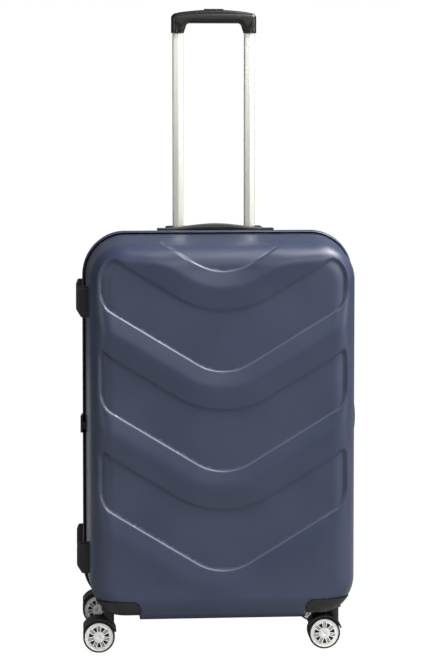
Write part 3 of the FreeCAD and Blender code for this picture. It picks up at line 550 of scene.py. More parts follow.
def fittings(points):
    """Distance inside the holes for the trolley's bezel, the carry handles' legs and the lock."""
    in_top = points[:, 2] - 0.5
    in_right = points[:, 0] - 0.2
    bezel = oblong_hole(points, (0, TROLLEY_DEPTH), BEZEL_HOLE, 0.010, (0, 1))
    lock = oblong_hole(points, LOCK_MIDDLE, LOCK_HOLE, 0.003, (1, 2))
    holes = [np.minimum(bezel, in_top), np.minimum(lock, in_right)]
    for side in (-LEG_SIDE, LEG_SIDE):
        top_leg = oblong_hole(points, (side, HANDLE_DEPTH), HANDLE_HOLE, 0.001, (0, 1))
        holes.append(np.minimum(top_leg, in_top))
        side_place = (HANDLE_DEPTH, SIDE_HANDLE_LEVEL + side)
        side_leg = oblong_hole(points, side_place, HANDLE_HOLE[::-1], 0.001, (1, 2))
        holes.append(np.minimum(side_leg, in_right))
    return np.max(holes, axis=0)


def crease_light(points, inward):
    """Painted highlight on each panel's foot edge: strongest on the left wing, which faces the lamps, weaker
    on the right.
    """
    crest = np.zeros(len(points))
    for order in BANDS:
        inside = inside_panel(points, inward, order)
        on_foot = np.abs(below_crease(points, order)) < 0.004
        crest = np.maximum(crest, np.exp(-((inside / CREASE_WIDTH) ** 2)) * on_foot)
    # The painted highlight is weighted to the left wing, whose edges face the lamps at the upper right, and
    # fades out near the sides.
    lit = 0.3 + 0.7 * ease(-0.05, 0.12, -points[:, 0])
    lit = lit * (1 - ease(0.200, 0.213, np.abs(points[:, 0])))
    return crest * lit * ease(-0.062, -0.035, inward)


def half_shell(name, tray, openings):
    """One moulded half: lines along every step and opening, faces left out where it is cut."""
    spots, faces = tray.layout(wall_step=0.010, arc_step=0.004, face_step=0.005)
    for order in BANDS:
        for offset in (-STEP_HALF, 0, STEP_HALF):

            def edge(at, order=order, offset=offset):
                points, _, along = tray.surface(at)
                return inside_panel(points, along - tray.profile_long, order) - offset

            spots, faces = inlay(spots, faces, edge)
    for opening in openings:
        spots, faces = inlay(spots, faces, lambda at, opening=opening: opening(tray.surface(at)[0]))
        middles = tray.surface(spots[faces].mean(1))[0]
        faces = faces[opening(middles) < 0]
    used, faces = in_use(faces)
    formed, out, along = tray.surface(spots[used])
    inward = along - tray.profile_long
    depth = relief(formed, inward)
    swell = np.exp(-(((along - BEAD_PLACE) / BEAD_HALF) ** 2)) * np.maximum(out[:, 2], 0.25)
    drop = FOOT_DROP * ease(0.0, 0.1, along) * (1 - ease(0.068, 0.095, formed[:, 2]))
    points = formed + out * (BEADS[tray.sign] * swell - depth)[:, None] - drop[:, None] * (0, 0, 1)
    piece = mesh_of(name, points, faces.tolist())
    mark(piece, "sunk", depth / SUNK)
    # The crease attribute holds a painted highlight along the panels' foot edges.
    mark(piece, "crease", crease_light(points, inward))
    thicken(piece, WALL)
    return piece


NAVY = (0.034, 0.044, 0.082)
NAVY_LIGHT = (0.042, 0.052, 0.094)
# A pale colour painted along the panels' foot edges as a highlight.
CREASE_PAINTED_HIGHLIGHT = (0.34, 0.36, 0.44)

shell_finish = Finish("navy_polycarbonate")
drift = shell_finish.cloud(9.0)
# The crease attribute is a painted highlight: the pale colour is mixed in along the panels' foot edges,
# which are also made glossier.
crease = shell_finish.node("Attribute", {"attribute_name": "crease"}, {}, "Fac")
skin_tone = shell_finish.mix(drift.between(0.3, 0.7), NAVY, NAVY_LIGHT)
shell_finish.tint(crease * 0.75, skin_tone, CREASE_PAINTED_HIGHLIGHT)
sunk = shell_finish.node("Attribute", {"attribute_name": "sunk"}, {}, "Fac")
in_panel = sunk.between(0.9, 1.0)
shell_grain = shell_finish.cloud(1500.0, 1.0)
shell_finish.bump(shell_finish.weave(420.0, 0.4) * in_panel + shell_grain * 0.35, 0.00005)
smear = shell_finish.cloud(40.0, 3.0)
shell_finish.feed("Roughness", 0.33 + 0.07 * in_panel + 0.05 * smear - 0.15 * crease)


def settle(piece, finish, body, slot, *nodes):
    """Paints a piece, sets it on its body, and has it stand for the nodes that it replaces."""
    paint(piece, finish)
    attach(piece, body)
    if nodes:
        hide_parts(*nodes)


def half_tray(node, face_outwards, *form):
    """The tray form that fills a node's box, its face at the back or at the front of it."""
    low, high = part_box(node)
    ends = (low.y, high.y) if face_outwards > 0 else (high.y, low.y)
    return Tray((low.x, low.z), (high.x, high.z), *ends, *form)


rear_skin = half_shell("rear_shell_skin", half_tray("rear_shell", 1, REAR_CORNER), (notch, fittings))
settle(rear_skin, shell_finish, "case", "shell", "rear_shell")
lid_skin = half_shell("lid_shell_skin", half_tray("lid_shell", -1, LID_CORNER), (notch,))
settle(lid_skin, shell_finish, "lid", "shell", "lid_shell")


# --- The zip ------------
# A band of woven tape is glued inside each half's rim and turns out into the gap between the halves.
# On its edge is a nylon coil, whose loops mesh with the other half's: a ring of small arched ribs.

ZIP_CORNER = 0.0732
TAPE_THICK = 0.0007
TAPE_STEP = 0.006
TOOTH_PITCH = 0.0024
TOOTH_HALF = 0.0009
TOOTH_CREST = 0.0009
COIL_SUNK = 0.0006


def ring_line(low, high, corner, step):
    """Evenly spaced points round a rounded oblong, anticlockwise, with their outward directions."""
    angles = np.concatenate([np.linspace(k, k + 1, 25) for k in range(4)]) * math.pi / 2
    side = np.repeat([(1, 1), (-1, 1), (-1, -1), (1, -1)], 25, axis=0)
    half = np.subtract(high, low) / 2
    way = np.stack([np.cos(angles), np.sin(angles)], 1)
    line = np.add(high, low) / 2 + side * (half - corner) + corner * way
    line, way = np.concatenate([line, line[:1]]), np.concatenate([way, way[:1]])
    run = np.concatenate([[0], np.cumsum(np.hypot(*np.diff(line, axis=0).T))])
    count = round(run[-1] / step)
    at = np.arange(count) * run[-1] / count
    spots, out = (np.stack([np.interp(at, run, data[:, i]) for i in (0, 1)], 1) for data in (line, way))
    return spots, out / np.hypot(*out.T)[:, None]


def upright(flat, level):
    """Points in space from flat ones, given as x and z, and their levels in y."""
    return np.stack([flat[..., 0], np.broadcast_to(level, flat.shape[:-1]), flat[..., 1]], -1)


def carried(spots, out, section):
    """Points and faces of a ring: a closed section of (outset, y) points carried round a line."""
    section = np.asarray(section)
    across = spots[:, None] + out[:, None] * section[:, :1]
    return upright(across, section[:, 1]).reshape(-1, 3), grid_faces(*across.shape[:2], True)


def whole(name, *parts, smooth=True):
    """One mesh object from several closed parts of points and faces, its faces all turned outwards."""
    faces, start = [], 0
    for spots, corners in parts:
        faces += [[start + corner for corner in face] for face in np.asarray(corners, object).tolist()]
        start += len(spots)
    piece = mesh_of(name, np.concatenate([spots for spots, _ in parts]), faces, smooth)
    shape = bmesh.new()
    shape.from_mesh(piece.data)
    bmesh.ops.recalc_face_normals(shape, faces=shape.faces)
    shape.to_mesh(piece.data)
    shape.free()
    return piece


def coil(spots, out, near, far):
    """Half-round ribs across the tape, from y near to y far, set at each spot of a line."""
    along = np.stack([-out[:, 1], out[:, 0]], 1)
    turn = np.linspace(0, math.pi, 6)
    shift = TOOTH_HALF * np.cos(turn)
    rise = TOOTH_CREST * np.sin(turn)
    across = spots[:, None] + along[:, None] * shift[None, :, None] + out[:, None] * rise[None, :, None]
    points = np.stack([upright(across, near), upright(across, far)], 1).reshape(-1, 3)
    rib = [[k, (k + 1) % 6, 6 + (k + 1) % 6, 6 + k] for k in range(6)]
    rib += [list(range(5, -1, -1)), list(range(6, 12))]
    first = np.arange(len(spots))[:, None] * 12
    faces = [(first + np.array(face)).tolist() for face in rib]
    return points, [face for group in faces for face in group]


tape_finish = Finish("zip_tape_weave", Roughness=0.85)
twill = tape_finish.threads("DIAGONAL", 500.0)
tape_finish.tint(twill, (0.008, 0.009, 0.014), (0.022, 0.025, 0.036))
tape_finish.bump(twill, 0.0002)
coil_tones = ((0.010, 0.011, 0.014), (0.020, 0.022, 0.028))
coil_finish = mottled("zip_coil_nylon", (60.0,), coil_tones, (0.28, 0.2))

REAR_ROUTE = [(-0.0003, -0.0019), (-0.0003, 0.004), (-0.0001, 0.0092)]
LID_ROUTE = [(-0.0046, -0.0195), (-0.0046, -0.0076), (-0.0036, -0.0067)]
LID_ROUTE += [(-0.0008, -0.0063), (-0.0006, -0.0024)]
zip_low, zip_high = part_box("zip_tape_rear")
zip_box = ((zip_low.x, zip_low.z), (zip_high.x, zip_high.z))


def zip_half(half, body, route, near, far, late):
    """One half's tape, along a route of (outset, y) points, and its teeth, late by a share of a pitch."""
    spots, out = ring_line(*zip_box, ZIP_CORNER, TAPE_STEP)
    section = np.concatenate([route, np.subtract(route[::-1], (TAPE_THICK, 0))])
    tape = whole("zip_tape_%s_woven" % half, carried(spots, out, section))
    settle(tape, tape_finish, body, "zip_tape", "zip_tape_" + half)
    spots, out = ring_line(*zip_box, ZIP_CORNER, TOOTH_PITCH)
    spots = spots + np.stack([-out[:, 1], out[:, 0]], 1) * TOOTH_PITCH * late
    teeth = whole("zip_coil_" + half, coil(spots - out * COIL_SUNK, out, near, far))
    settle(teeth, coil_finish, body, "zip_tape")


zip_half("rear", "case", REAR_ROUTE, -0.0042, 0.0006, 0.0)
zip_half("lid", "lid", LID_ROUTE, -0.0060, -0.0012, 0.5)

nickel_tones = ((0.20, 0.20, 0.21), (0.42, 0.42, 0.43))
slider_metal = mottled("slider_nickel", (180.0, 3.0), nickel_tones, (0.22, 0.2), Metallic=1.0)
repaint(slider_metal, "zip_slider_upper", "zip_slider_lower", "lock_button")


# --- The linings, the divider and the packing straps ------------
# Each half is lined with thin woven polyester, cut as a rectangle with its corners taken out, and
# glued under the rim. It goes round the trolley's tunnel and over the wheel housings. The divider
# is a panel of the same cloth with a taped edge; two straps cross the case over the tunnel.

CLOTH_THICK = 0.0006
LINING_FORM = (0.062, 0.002, 0.030)
TUNNEL_HALF = 0.0925
TUNNEL_FRONT = 0.0925
COVER_INNER = 0.132
COVER_TOP = 0.103
COVER_BACK = 0.027
SLIVER = 1e-7

cloth_finish = Finish("lining_polyester", Roughness=0.7, Sheen_Weight=0.3)
weft = cloth_finish.weave(260.0)
soft = cloth_finish.cloud(7.0, 2.0)
cloth_finish.tint(weft * 0.5 + soft * 0.5, (0.11, 0.12, 0.15), (0.20, 0.21, 0.25))
cloth_finish.bump(weft * 0.6 + soft * 0.4, 0.0004)

hem_finish = Finish("hem_tape", Roughness=0.8)
ribs = hem_finish.threads("DIAGONAL", 420.0)
hem_finish.tint(ribs, (0.02, 0.021, 0.026), (0.05, 0.052, 0.06))
hem_finish.bump(ribs, 0.0003)


def lining(name, tray, inner_side):
    """Cloth laid in a tray form, held clear of the housings and, in the rear half, of the tunnel."""
    spots, faces = tray.layout(wall_step=0.012, arc_step=0.006, face_step=0.008)
    points = tray.surface(spots)[0]
    side, depth, height = np.abs(points[:, 0]), np.abs(points[:, 1]), points[:, 2]
    over = (side > COVER_INNER) & (depth > COVER_BACK)
    height = np.where(over, np.maximum(height, COVER_TOP), height)
    if inner_side > 0:
        wave = 0.0006 * np.sin(height * 31) * np.cos(side * 40)
        beside = ease(TUNNEL_HALF + 0.001, TUNNEL_HALF + 0.09, side)
        depth = np.minimum(depth, TUNNEL_FRONT + wave + (1 - TUNNEL_FRONT) * beside)
    points = np.stack([np.sign(points[:, 0]) * side, np.sign(points[:, 1]) * depth, height], 1)
    first, second, third = points[faces].transpose(1, 0, 2)
    size = np.linalg.norm(np.cross(second - first, third - first), axis=1) / 2
    used, kept = in_use(faces[size > SLIVER])
    piece = mesh_of(name, points[used], kept.tolist())
    thicken(piece, CLOTH_THICK)
    return piece, float(size.sum())


for half, body, inner_side in (("rear", "case", 1), ("lid", "lid", -1)):
    form = half_tray(half + "_lining", inner_side, *LINING_FORM)
    cloth, area = lining(half + "_lining_cloth", form, inner_side)
    settle(cloth, cloth_finish, body, "lining", half + "_lining")

DIVIDER_CORNER = 0.055
low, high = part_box("lid_divider")
spots, out = ring_line((low.x, low.z), (high.x, high.z), DIVIDER_CORNER, 0.008)
middle = np.add(low, high) / 2
centre, level = middle[[0, 2]], middle[1]
shares = np.linspace(0.02, 1, 40)
rings = centre + (spots[None] - centre) * shares[:, None, None]
sag = 0.0006 * np.sin(rings[..., 0] * 23) * np.sin(rings[..., 1] * 17) * (1 - shares[:, None] ** 4)
points = upright(rings, level + sag).reshape(-1, 3)
faces = grid_faces(len(shares), len(spots)).tolist() + [list(range(len(spots)))[::-1]]
divider = whole("lid_divider_cloth", (points, faces))
thicken(divider, CLOTH_THICK)
settle(divider, cloth_finish, "lid", "lining", "lid_divider")
fold = np.linspace(0, 2 * math.pi, 9)[:-1]
hem_section = np.stack([0.0011 * np.cos(fold) - 0.0012, level + 0.0010 * np.sin(fold)], 1)
hem = whole("lid_divider_hem", carried(spots, out, hem_section))
settle(hem, hem_finish, "lid", "webbing")

STRAP_WIDE = 0.030
STRAP_THICK = 0.0012
STRAP_FEET = (0.255, 0.505)
low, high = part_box("packing_straps")
run = np.linspace(low.x, high.x, 89)
across = np.linspace(0, STRAP_WIDE, 5)
run_grid, across_grid = np.meshgrid(run, across, indexing="ij")
level = np.full(run_grid.shape, (low.y + high.y) / 2)
for number, foot in enumerate(STRAP_FEET, 1):
    points = np.stack([run_grid, level, foot + across_grid], 2).reshape(-1, 3)
    strap = mesh_of("packing_strap_%d" % number, points, grid_faces(*run_grid.shape, False, False).tolist())
    thicken(strap, STRAP_THICK)
    settle(strap, hem_finish, "case", "webbing", "packing_straps")


# --- The black fittings and the steel pins ------------
# Nylon and ABS mouldings with a fine spark-eroded grain: the wheel housings and forks, the handles'
# sockets, the lock's case, the hinge's leaves, the buckles and the trolley's fittings. The axles,
# the hinge's pin, the feet's screws and the release rods are turned or drawn in bright steel.

black_tones = ((0.010, 0.0098, 0.0090), (0.018, 0.0175, 0.016))
spark_grain = (1400.0, 2.0, 0.00008)
black_finish = mottled("black_nylon", (22.0, 3.0), black_tones, (0.40, 0.16), spark_grain)
black_finish.shader.inputs["Specular IOR Level"].default_value = 0.45
CORNERS = [end + "_" + side for end in ("front", "rear") for side in ("left", "right")]
forks = ["caster_fork_" + corner for corner in CORNERS]
repaint(black_finish, *forks, "wheel_housings_rear", "wheel_housings_front", "top_handle_mounts")
repaint(black_finish, "side_handle_mounts", "lock_housing", "hinge_leaf_case", "hinge_leaf_lid")
repaint(black_finish, "strap_buckles", "trolley_base", "trolley_bezel", "trolley_button")

steel_tones = ((0.45, 0.45, 0.46), (0.66, 0.66, 0.66))
cut_lines = (400.0, 2.0, (1, 1, 8))
steel_finish = mottled("bright_steel", cut_lines, steel_tones, (0.22, 0.2), Metallic=1.0)
axles = ["caster_axle_" + corner for corner in CORNERS]
repaint(steel_finish, *axles, "hinge_pin", "foot_screws", "release_rods")


# --- The feet ------------
# Four blocks moulded in black nylon stand on the left wall, two on each half, held by screws from
# inside. Each is rounded at its head and slopes back at its foot, to slide when the case is laid.

FOOT_HALF = 0.027
FOOT_TOE = -0.2475
FOOT_BROW = -0.2530
FOOT_ROUNDS = (0.004, 0.004, 0.004, 0.008, 0.005, 0.004)
FOOT_EDGE = 0.0035


def rounded_line(corners, radii, most=0.004):
    """A closed line through a polygon's corners, each turned into an arc, with no step over most."""
    corners = np.asarray(corners, float)
    parts = []
    for i, (spot, radius) in enumerate(zip(corners, radii)):
        if radius == 0:
            parts.append(spot[None])
            continue
        ways = [other - spot for other in (corners[i - 1], corners[(i + 1) % len(corners)])]
        ways = [way / np.hypot(*way) for way in ways]
        half = math.acos(float(np.clip(ways[0] @ ways[1], -1, 1))) / 2
        centre = spot + (ways[0] + ways[1]) / (2 * math.cos(half)) * radius / math.sin(half)
        start, end = (spot + way * radius / math.tan(half) - centre for way in ways)
        share = np.linspace(0, 1, 9)[:, None]
        arc = start * (1 - share) + end * share
        parts.append(centre + arc * radius / np.hypot(*arc.T)[:, None])
    line = np.concatenate(parts)
    filled = []
    for spot, after in zip(line, np.roll(line, -1, 0)):
        count = max(1, math.ceil(np.hypot(*(after - spot)) / most))
        filled.append(spot + (after - spot) * (np.arange(count) / count)[:, None])
    return np.concatenate(filled)


def slab(line, front, back, edge, axes=(0, 2, 1), square_end=None):
    """A solid with a closed outline, from front to back, its two rims rounded by a quarter circle.

    Axes says where the outline's two coordinates and the depth go. Where a square end is given, as
    a level, a middle and a half width, the ends of the two legs there stay flat.
    """
    line = np.asarray(line, float)
    after, before = np.roll(line, -1, 0), np.roll(line, 1, 0)
    if (line[:, 0] * after[:, 1] - after[:, 0] * line[:, 1]).sum() < 0:
        after, before = before, after
    ahead = after - before
    out = np.stack([ahead[:, 1], -ahead[:, 0]], 1)
    out /= np.hypot(*out.T)[:, None]
    if square_end:
        level, middle, half = square_end
        flat = np.abs(line[:, 1] - level) < 1e-6
        away = (np.abs(line[:, 0]) - middle) / half * np.sign(line[:, 0])
        out = np.where(flat[:, None], np.stack([away, 0 * away], 1), out)
    turn = np.linspace(0, math.pi / 2, 6)
    inset, sink = edge * (1 - np.sin(turn)), edge * (1 - np.cos(turn))
    insets = np.concatenate([[edge * 1.03], inset, inset[::-1], [edge * 1.03]])
    levels = np.concatenate([[front], front + sink, back - sink[::-1], [back]])
    rings = line[None] - out[None] * insets[:, None, None]
    points = np.empty((len(insets), len(line), 3))
    points[..., axes[0]], points[..., axes[1]] = rings[..., 0], rings[..., 1]
    points[..., axes[2]] = levels[:, None]
    faces = grid_faces(len(insets), len(line)).tolist()
    last = len(line) * (len(insets) - 1)
    faces += [list(range(len(line)))[::-1], list(range(last, last + len(line)))]
    return points.reshape(-1, 3), faces


for node, body, wall in (("lid_feet", "lid", -0.2315), ("rear_feet", "case", -0.2370)):
    low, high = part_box(node)
    blocks = []
    for middle in (low.z + FOOT_HALF, high.z - FOOT_HALF):
        head, foot = middle + FOOT_HALF, middle - FOOT_HALF
        corners = [(wall, head), (wall, foot), (FOOT_TOE, foot)]
        corners += [(low.x, middle - 0.012), (low.x, middle + 0.018), (FOOT_BROW, head)]
        blocks.append(slab(rounded_line(corners, FOOT_ROUNDS), low.y, high.y, FOOT_EDGE))
    feet = whole(node + "_blocks", *blocks)
    settle(feet, black_finish, body, "black_plastic", node)


# --- The carry handles ------------
# Each is a flexible strap moulded in dark elastomer, arched like a flat bow and thickest in its
# middle. Its two legs slide in sockets sunk in the shell, so the strap lifts 10 mm when pulled.

BOW_HALF = 0.1025
BOW_END = 0.0040
BOW_THICK = 0.0032
BOW_SWELL = 0.0035
TOP_SKIN = 0.7336
SIDE_SKIN = 0.2421
LEG_HALF = 0.0055

strap_tones = ((0.040, 0.036, 0.028), (0.062, 0.056, 0.044))
strap_grain = (900.0, 2.0, 0.00006)
strap_finish = mottled("dark_elastomer", (14.0, 2.0), strap_tones, (0.42, 0.12), strap_grain)


def bow(low, peak):
    """The outline of an arched strap: its top follows a squared cosine and its foot the same, lower."""
    run = np.linspace(-BOW_HALF, BOW_HALF, 65)
    arch = np.cos(run / BOW_HALF * math.pi / 2) ** 2
    top = low + BOW_END + (peak - low - BOW_END) * arch
    foot = top - BOW_THICK - BOW_SWELL * arch
    upper = np.stack([run[::-1], top[::-1]], 1)
    lower = np.stack([run, foot], 1)
    return np.concatenate([lower, upper[:1] + (0.0008, -0.0016), upper, lower[:1] + (-0.0008, 0.0016)])


def carry_handle(node, skin, axes):
    """A strap over the shell's skin, with two legs, laid along the first of the axes."""
    low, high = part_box(node)
    along, rise, _ = axes
    middle = (low[along] + high[along]) / 2
    parts = [slab(bow(skin, high[rise]) + (middle, 0), low.y, high.y, 0.0014, axes)]
    for side in (-LEG_SIDE, LEG_SIDE):
        left, right = middle + side - LEG_HALF, middle + side + LEG_HALF
        head = skin + 0.0025
        leg = rounded_line([(left, low[rise]), (right, low[rise]), (right, head), (left, head)], [0.001] * 4)
        parts.append(slab(leg, HANDLE_DEPTH - 0.007, HANDLE_DEPTH + 0.007, 0.0008, axes))
    settle(whole(node + "_strap", *parts), strap_finish, node, "grip_plastic", node)


carry_handle("top_handle", TOP_SKIN, (0, 2, 1))
carry_handle("side_handle", SIDE_SKIN, (2, 0, 1))


# --- The trolley ------------
# Two flat-sided aluminium tubes slide in two larger ones, held by a collar in the top wall. The grip
# is moulded in two halves, a body with two legs and a domed cover, with the release button between.

tube_finish = Finish("anodised_aluminium", Metallic=0.55)
die_lines = tube_finish.cloud(260.0, 3.0, (1, 1, 0.02))
tube_finish.tint(die_lines, (0.58, 0.59, 0.52), (0.68, 0.69, 0.62))
tube_finish.feed("Roughness", 0.30 + 0.12 * die_lines)
tube_finish.bump(die_lines, 0.00003)
repaint(tube_finish, "trolley_outer_tubes")

TUBE_HALF = 0.010
TUBE_FLAT = 0.0005
TUBE_SLOPE = 0.0036
TUBE_ROUNDS = (0.0028, 0.004, 0.003, 0.0028, 0.0028)
low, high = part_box("trolley_inner_tubes")
tubes = []
for side in (-1, 1):
    centre = side * (high.x - TUBE_HALF)
    left, right = centre - TUBE_HALF, centre + TUBE_HALF
    corners = [(left, low.y), (centre + TUBE_FLAT, low.y), (right, low.y + TUBE_SLOPE)]
    corners += [(right, high.y), (left, high.y)]
    tubes.append(slab(rounded_line(corners, TUBE_ROUNDS, 0.002), low.z, high.z, 0.0004, (0, 1, 2)))
inner_tubes = whole("trolley_inner_tubes_drawn", *tubes)
settle(inner_tubes, tube_finish, "trolley", "tube", "trolley_inner_tubes")

COLLAR_FOOT = 0.7320
COLLAR_HEAD = 0.7355
low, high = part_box("trolley_bezel")
spots, out = ring_line((low.x, low.y), (high.x, high.y), 0.010, 0.003)
swing = np.linspace(0, math.pi, 9)
crown = np.stack([-0.0030 + 0.0025 * np.cos(swing), COLLAR_HEAD + 0.0030 * np.sin(swing)], 1)
collar_section = np.concatenate([[(-0.0005, COLLAR_FOOT)], crown, [(-0.0055, COLLAR_FOOT)]])
points, faces = carried(spots, out, collar_section)
collar = whole("trolley_collar", (points[:, [0, 2, 1]], faces))
settle(collar, black_finish, "case", "black_plastic")

grip_tones = ((0.007, 0.0065, 0.0055), (0.012, 0.011, 0.0095))
grip_finish = mottled("grip_abs", (30.0, 2.0), grip_tones, (0.22, 0.08), (1200.0, 1.0, 0.00003))

LEG_FOOT = 0.0557
LEG_ROOT = 0.0500
BAR_FOOT = 1.1150
SEAM_DROP = 0.0030
SHOULDER = 1.1362
COVER_HALF = 0.0700
COVER_DOME = 0.30
low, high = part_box("grip_body")
corners = [(-high.x, low.z), (-LEG_FOOT, low.z), (-LEG_ROOT, BAR_FOOT), (LEG_ROOT, BAR_FOOT)]
corners += [(LEG_FOOT, low.z), (high.x, low.z), (high.x, SHOULDER), (-high.x, SHOULDER)]
line = rounded_line(corners, (0, 0, 0.007, 0.007, 0, 0, 0.0090, 0.0090), 0.003)
line[:, 1] -= SEAM_DROP * (line[:, 0] / high.x) ** 2 * ease(BAR_FOOT, SHOULDER, line[:, 1])
leg_end = (low.z, (high.x + LEG_FOOT) / 2, (high.x - LEG_FOOT) / 2)
body_part = whole("grip_body_moulding", slab(line, low.y, high.y, 0.008, (0, 2, 1), leg_end))
settle(body_part, grip_finish, "trolley", "grip_plastic", "grip_body")

low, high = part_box("grip_cover")
foot = low.z - 0.006
corners = [(-COVER_HALF, foot), (COVER_HALF, foot), (COVER_HALF, high.z), (-COVER_HALF, high.z)]
line = rounded_line(corners, (0.0045, 0.0045, 0.0050, 0.0050), 0.003)
line[:, 1] -= (SEAM_DROP + COVER_DOME * (line[:, 1] - low.z)) * (line[:, 0] / COVER_HALF) ** 2
cover = whole("grip_cover_moulding", slab(line, low.y + 0.003, high.y - 0.003, 0.004))
settle(cover, grip_finish, "trolley", "grip_plastic", "grip_cover")


# --- The lock ------------
# Three number wheels in a moulded case on the right wall. Each wheel is a turned ring with the ten
# figures printed round its edge in black.

DIAL_RADIUS = 0.00705
FIGURE_TALL = 0.0036
FIGURE_RAISED = 0.00006

dial_tones = ((0.42, 0.40, 0.34), (0.62, 0.60, 0.52))
turned_lines = (500.0, 2.0, (1, 1, 6))
dial_finish = mottled("dial_aluminium", turned_lines, dial_tones, (0.30, 0.2), Metallic=0.7)
ink_finish = Finish("figure_ink", Roughness=0.6)
ink_finish.tint(ink_finish.cloud(900.0), (0.008, 0.008, 0.008), (0.02, 0.02, 0.02))


def printed(figure, centre):
    """A figure's points and faces, wrapped round a dial at the figure's own tenth of a turn."""
    words = bpy.data.curves.new("figure", "FONT")
    words.body = str(figure)
    words.size = FIGURE_TALL
    words.align_x = "CENTER"
    words.align_y = "CENTER"
    words.extrude = FIGURE_RAISED
    words.resolution_u = 2
    letter = bpy.data.objects.new("figure", words)
    shape = bpy.data.meshes.new_from_object(letter)
    flat = np.array([vertex.co for vertex in shape.vertices])
    faces = [list(polygon.vertices) for polygon in shape.polygons]
    bpy.data.objects.remove(letter)
    bpy.data.meshes.remove(shape)
    angle = figure * math.pi / 5 + flat[:, 0] / DIAL_RADIUS
    reach = DIAL_RADIUS + flat[:, 2]
    return np.stack([reach * np.cos(angle), reach * np.sin(angle), flat[:, 1]], 1) + centre, faces


for number in (1, 2, 3):
    dial = "lock_dial_%d" % number
    repaint(dial_finish, dial)
    low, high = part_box(dial)
    parts = [printed(figure, np.add(low, high) / 2) for figure in range(10)]
    settle(whole(dial + "_figures", *parts, smooth=False), ink_finish, dial, "dial")


# --- The wheels ------------
# Each caster has two thin wheels: a moulded rim, painted silver, whose face has seven wedge-shaped
# windows and two slots in each spoke between them, and a black tyre moulded on. A black web closes
# the wheel behind the windows.

WEB_RADIUS = 0.0225
WEB_DEEP = 0.0195
RIM_RADIUS = 0.0252
RIM_INNER = 0.004
RIM_WALL = 0.0018
FACE_THICK = 0.0012
HUB_RADIUS = 0.0076
HUB_DEEP = 0.0030
WINDOW_FOOT = 0.0098
WINDOW_HEAD = 0.0180
WINDOW_HALF = 0.0010
WINDOW_SPREAD = 0.0027
SLOT_PLACE = 0.0012
SLOT_HALF = 0.0007
SLOT_BEYOND = 0.0016

rim_finish = Finish("silver_paint", Metallic=0.1)
fleck = rim_finish.cloud(1600.0, 1.0)
dust = rim_finish.cloud(60.0, 3.0)
rim_finish.tint(dust * 0.6 + fleck * 0.4, (0.92, 0.92, 0.87), (0.98, 0.98, 0.95))
rim_finish.feed("Roughness", 0.28 + 0.12 * dust)
rubber_tones = ((0.006, 0.006, 0.006), (0.016, 0.0155, 0.015))
tyre_finish = mottled("tyre_rubber", (120.0, 4.0), rubber_tones, (0.50, 0.25), (900.0, 0.0001))


def windows(spots):
    """Distance inside the cuts of a wheel's face: seven wedges, and two slots in each spoke between."""
    reach = np.hypot(*spots.T)
    angle = np.arctan2(spots[:, 0], -spots[:, 1])
    seventh = 2 * math.pi / 7
    from_wedge = (angle + seventh / 2) % seventh - seventh / 2
    outward = (reach - WINDOW_FOOT) / (WINDOW_HEAD - WINDOW_FOOT)
    wedge = WINDOW_HALF + WINDOW_SPREAD * outward - reach * np.abs(from_wedge)
    wedge = np.minimum(wedge, np.minimum(WINDOW_HEAD - reach, reach - WINDOW_FOOT))
    from_spoke = angle % seventh - seventh / 2
    slot = SLOT_HALF - np.abs(np.abs(reach * np.sin(from_spoke)) - SLOT_PLACE)
    slot = np.minimum(slot, np.minimum(reach - WINDOW_FOOT, WINDOW_HEAD + SLOT_BEYOND - reach))
    return np.maximum(wedge, slot)


def wheel_face():
    """The rim's face seen from outside, cut through: its points, triangles and open edges."""
    reach = np.linspace(RIM_INNER, RIM_RADIUS, 56)
    turn = np.linspace(0, 2 * math.pi, 225)[:-1]
    reach, turn = np.meshgrid(reach, turn, indexing="ij")
    spots = np.stack([reach * np.sin(turn), reach * np.cos(turn)], 2).reshape(-1, 2)
    quads = grid_faces(*reach.shape)
    faces = np.concatenate([quads[:, [0, 1, 2]], quads[:, [0, 2, 3]]])
    spots, faces = inlay(spots, faces, windows, 0.00012)
    used, faces = in_use(faces[windows(spots[faces].mean(1)) < 0])
    single, count = np.unique(edges_of(faces), axis=0, return_counts=True)
    return spots[used], faces, single[count == 1]


def round_way(count):
    """Directions all round a wheel, evenly spaced."""
    turn = np.linspace(0, 2 * math.pi, count + 1)[:-1]
    return np.stack([np.sin(turn), np.cos(turn)], 1)


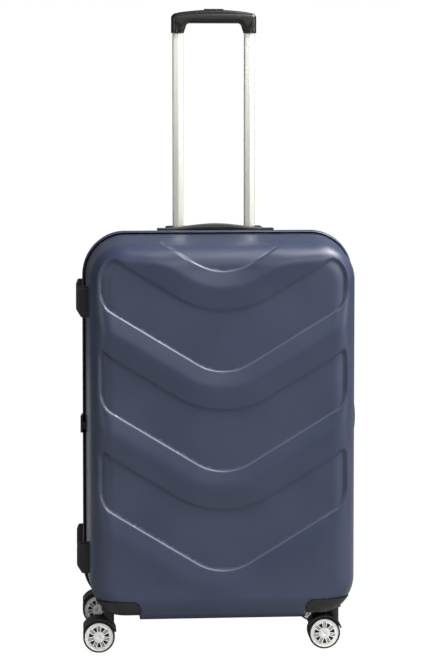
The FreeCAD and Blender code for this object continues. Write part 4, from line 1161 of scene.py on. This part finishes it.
def rim_parts(face, centre, outer, inner):
    """A rim from its outer level to its inner one: the cut face, the barrel round it and the hub."""
    disc, triangles, open_edges = face
    side = 1 if outer > inner else -1
    reach = np.hypot(*disc.T)
    sink = 0.0008 + 0.0010 * ease(0.0178, 0.0205, reach) - 0.0006 * ease(0.0225, 0.0245, reach)
    front = upright(centre + disc, outer - side * sink)
    back = front - (0, side * FACE_THICK, 0)
    first, second = open_edges.T
    walls = np.stack([first, second, second + len(disc), first + len(disc)], 1)
    solid = triangles.tolist() + (triangles + len(disc)).tolist() + walls.tolist()
    wall = [(-RIM_WALL, outer - side * 0.0020), (0, outer - side * 0.0016), (0, inner), (-RIM_WALL, inner)]
    way = round_way(224)
    barrel = carried(centre + way * RIM_RADIUS, way, wall)
    bend = np.linspace(0, math.pi / 2, 7)[:-1]
    dome = [(-0.0012 * (1 - math.cos(b)), outer - side * 0.0010 * (1 - math.sin(b))) for b in bend]
    dome = [(0, outer - side * HUB_DEEP)] + dome
    dome += [(-HUB_RADIUS + 0.0001, outer - side * deep) for deep in (0.0002, HUB_DEEP)]
    hub = carried(centre + way * HUB_RADIUS, way, dome)
    return (np.concatenate([front, back]), solid), barrel, hub


def wheel_place(wheel):
    """The middle of a wheel, as x and z, and its two levels in y, the outer one first."""
    low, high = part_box("rim_" + wheel)
    levels = (high.y, low.y) if wheel.endswith("b") else (low.y, high.y)
    return (np.add(low, high) / 2)[[0, 2]], levels


wheels = [corner + "_" + pair for corner in CORNERS for pair in "ab"]
for wheel in wheels:
    centre, levels = wheel_place(wheel)
    middle, way = sum(levels) / 2, round_way(64)
    section = [(-WEB_DEEP, middle - 0.0005), (0, middle - 0.0012)]
    section += [(0, middle + 0.0012), (-WEB_DEEP, middle + 0.0005)]
    web = whole("web_" + wheel, carried(centre + way * WEB_RADIUS, way, section))
    settle(web, tyre_finish, "wheel_" + wheel, "tyre")
cut_face = wheel_face()
for wheel in wheels:
    centre, levels = wheel_place(wheel)
    rim = whole("rim_%s_cast" % wheel, *rim_parts(cut_face, centre, *levels))
    settle(rim, rim_finish, "wheel_" + wheel, "rim", "rim_" + wheel)
    repaint(tyre_finish, "tyre_" + wheel)
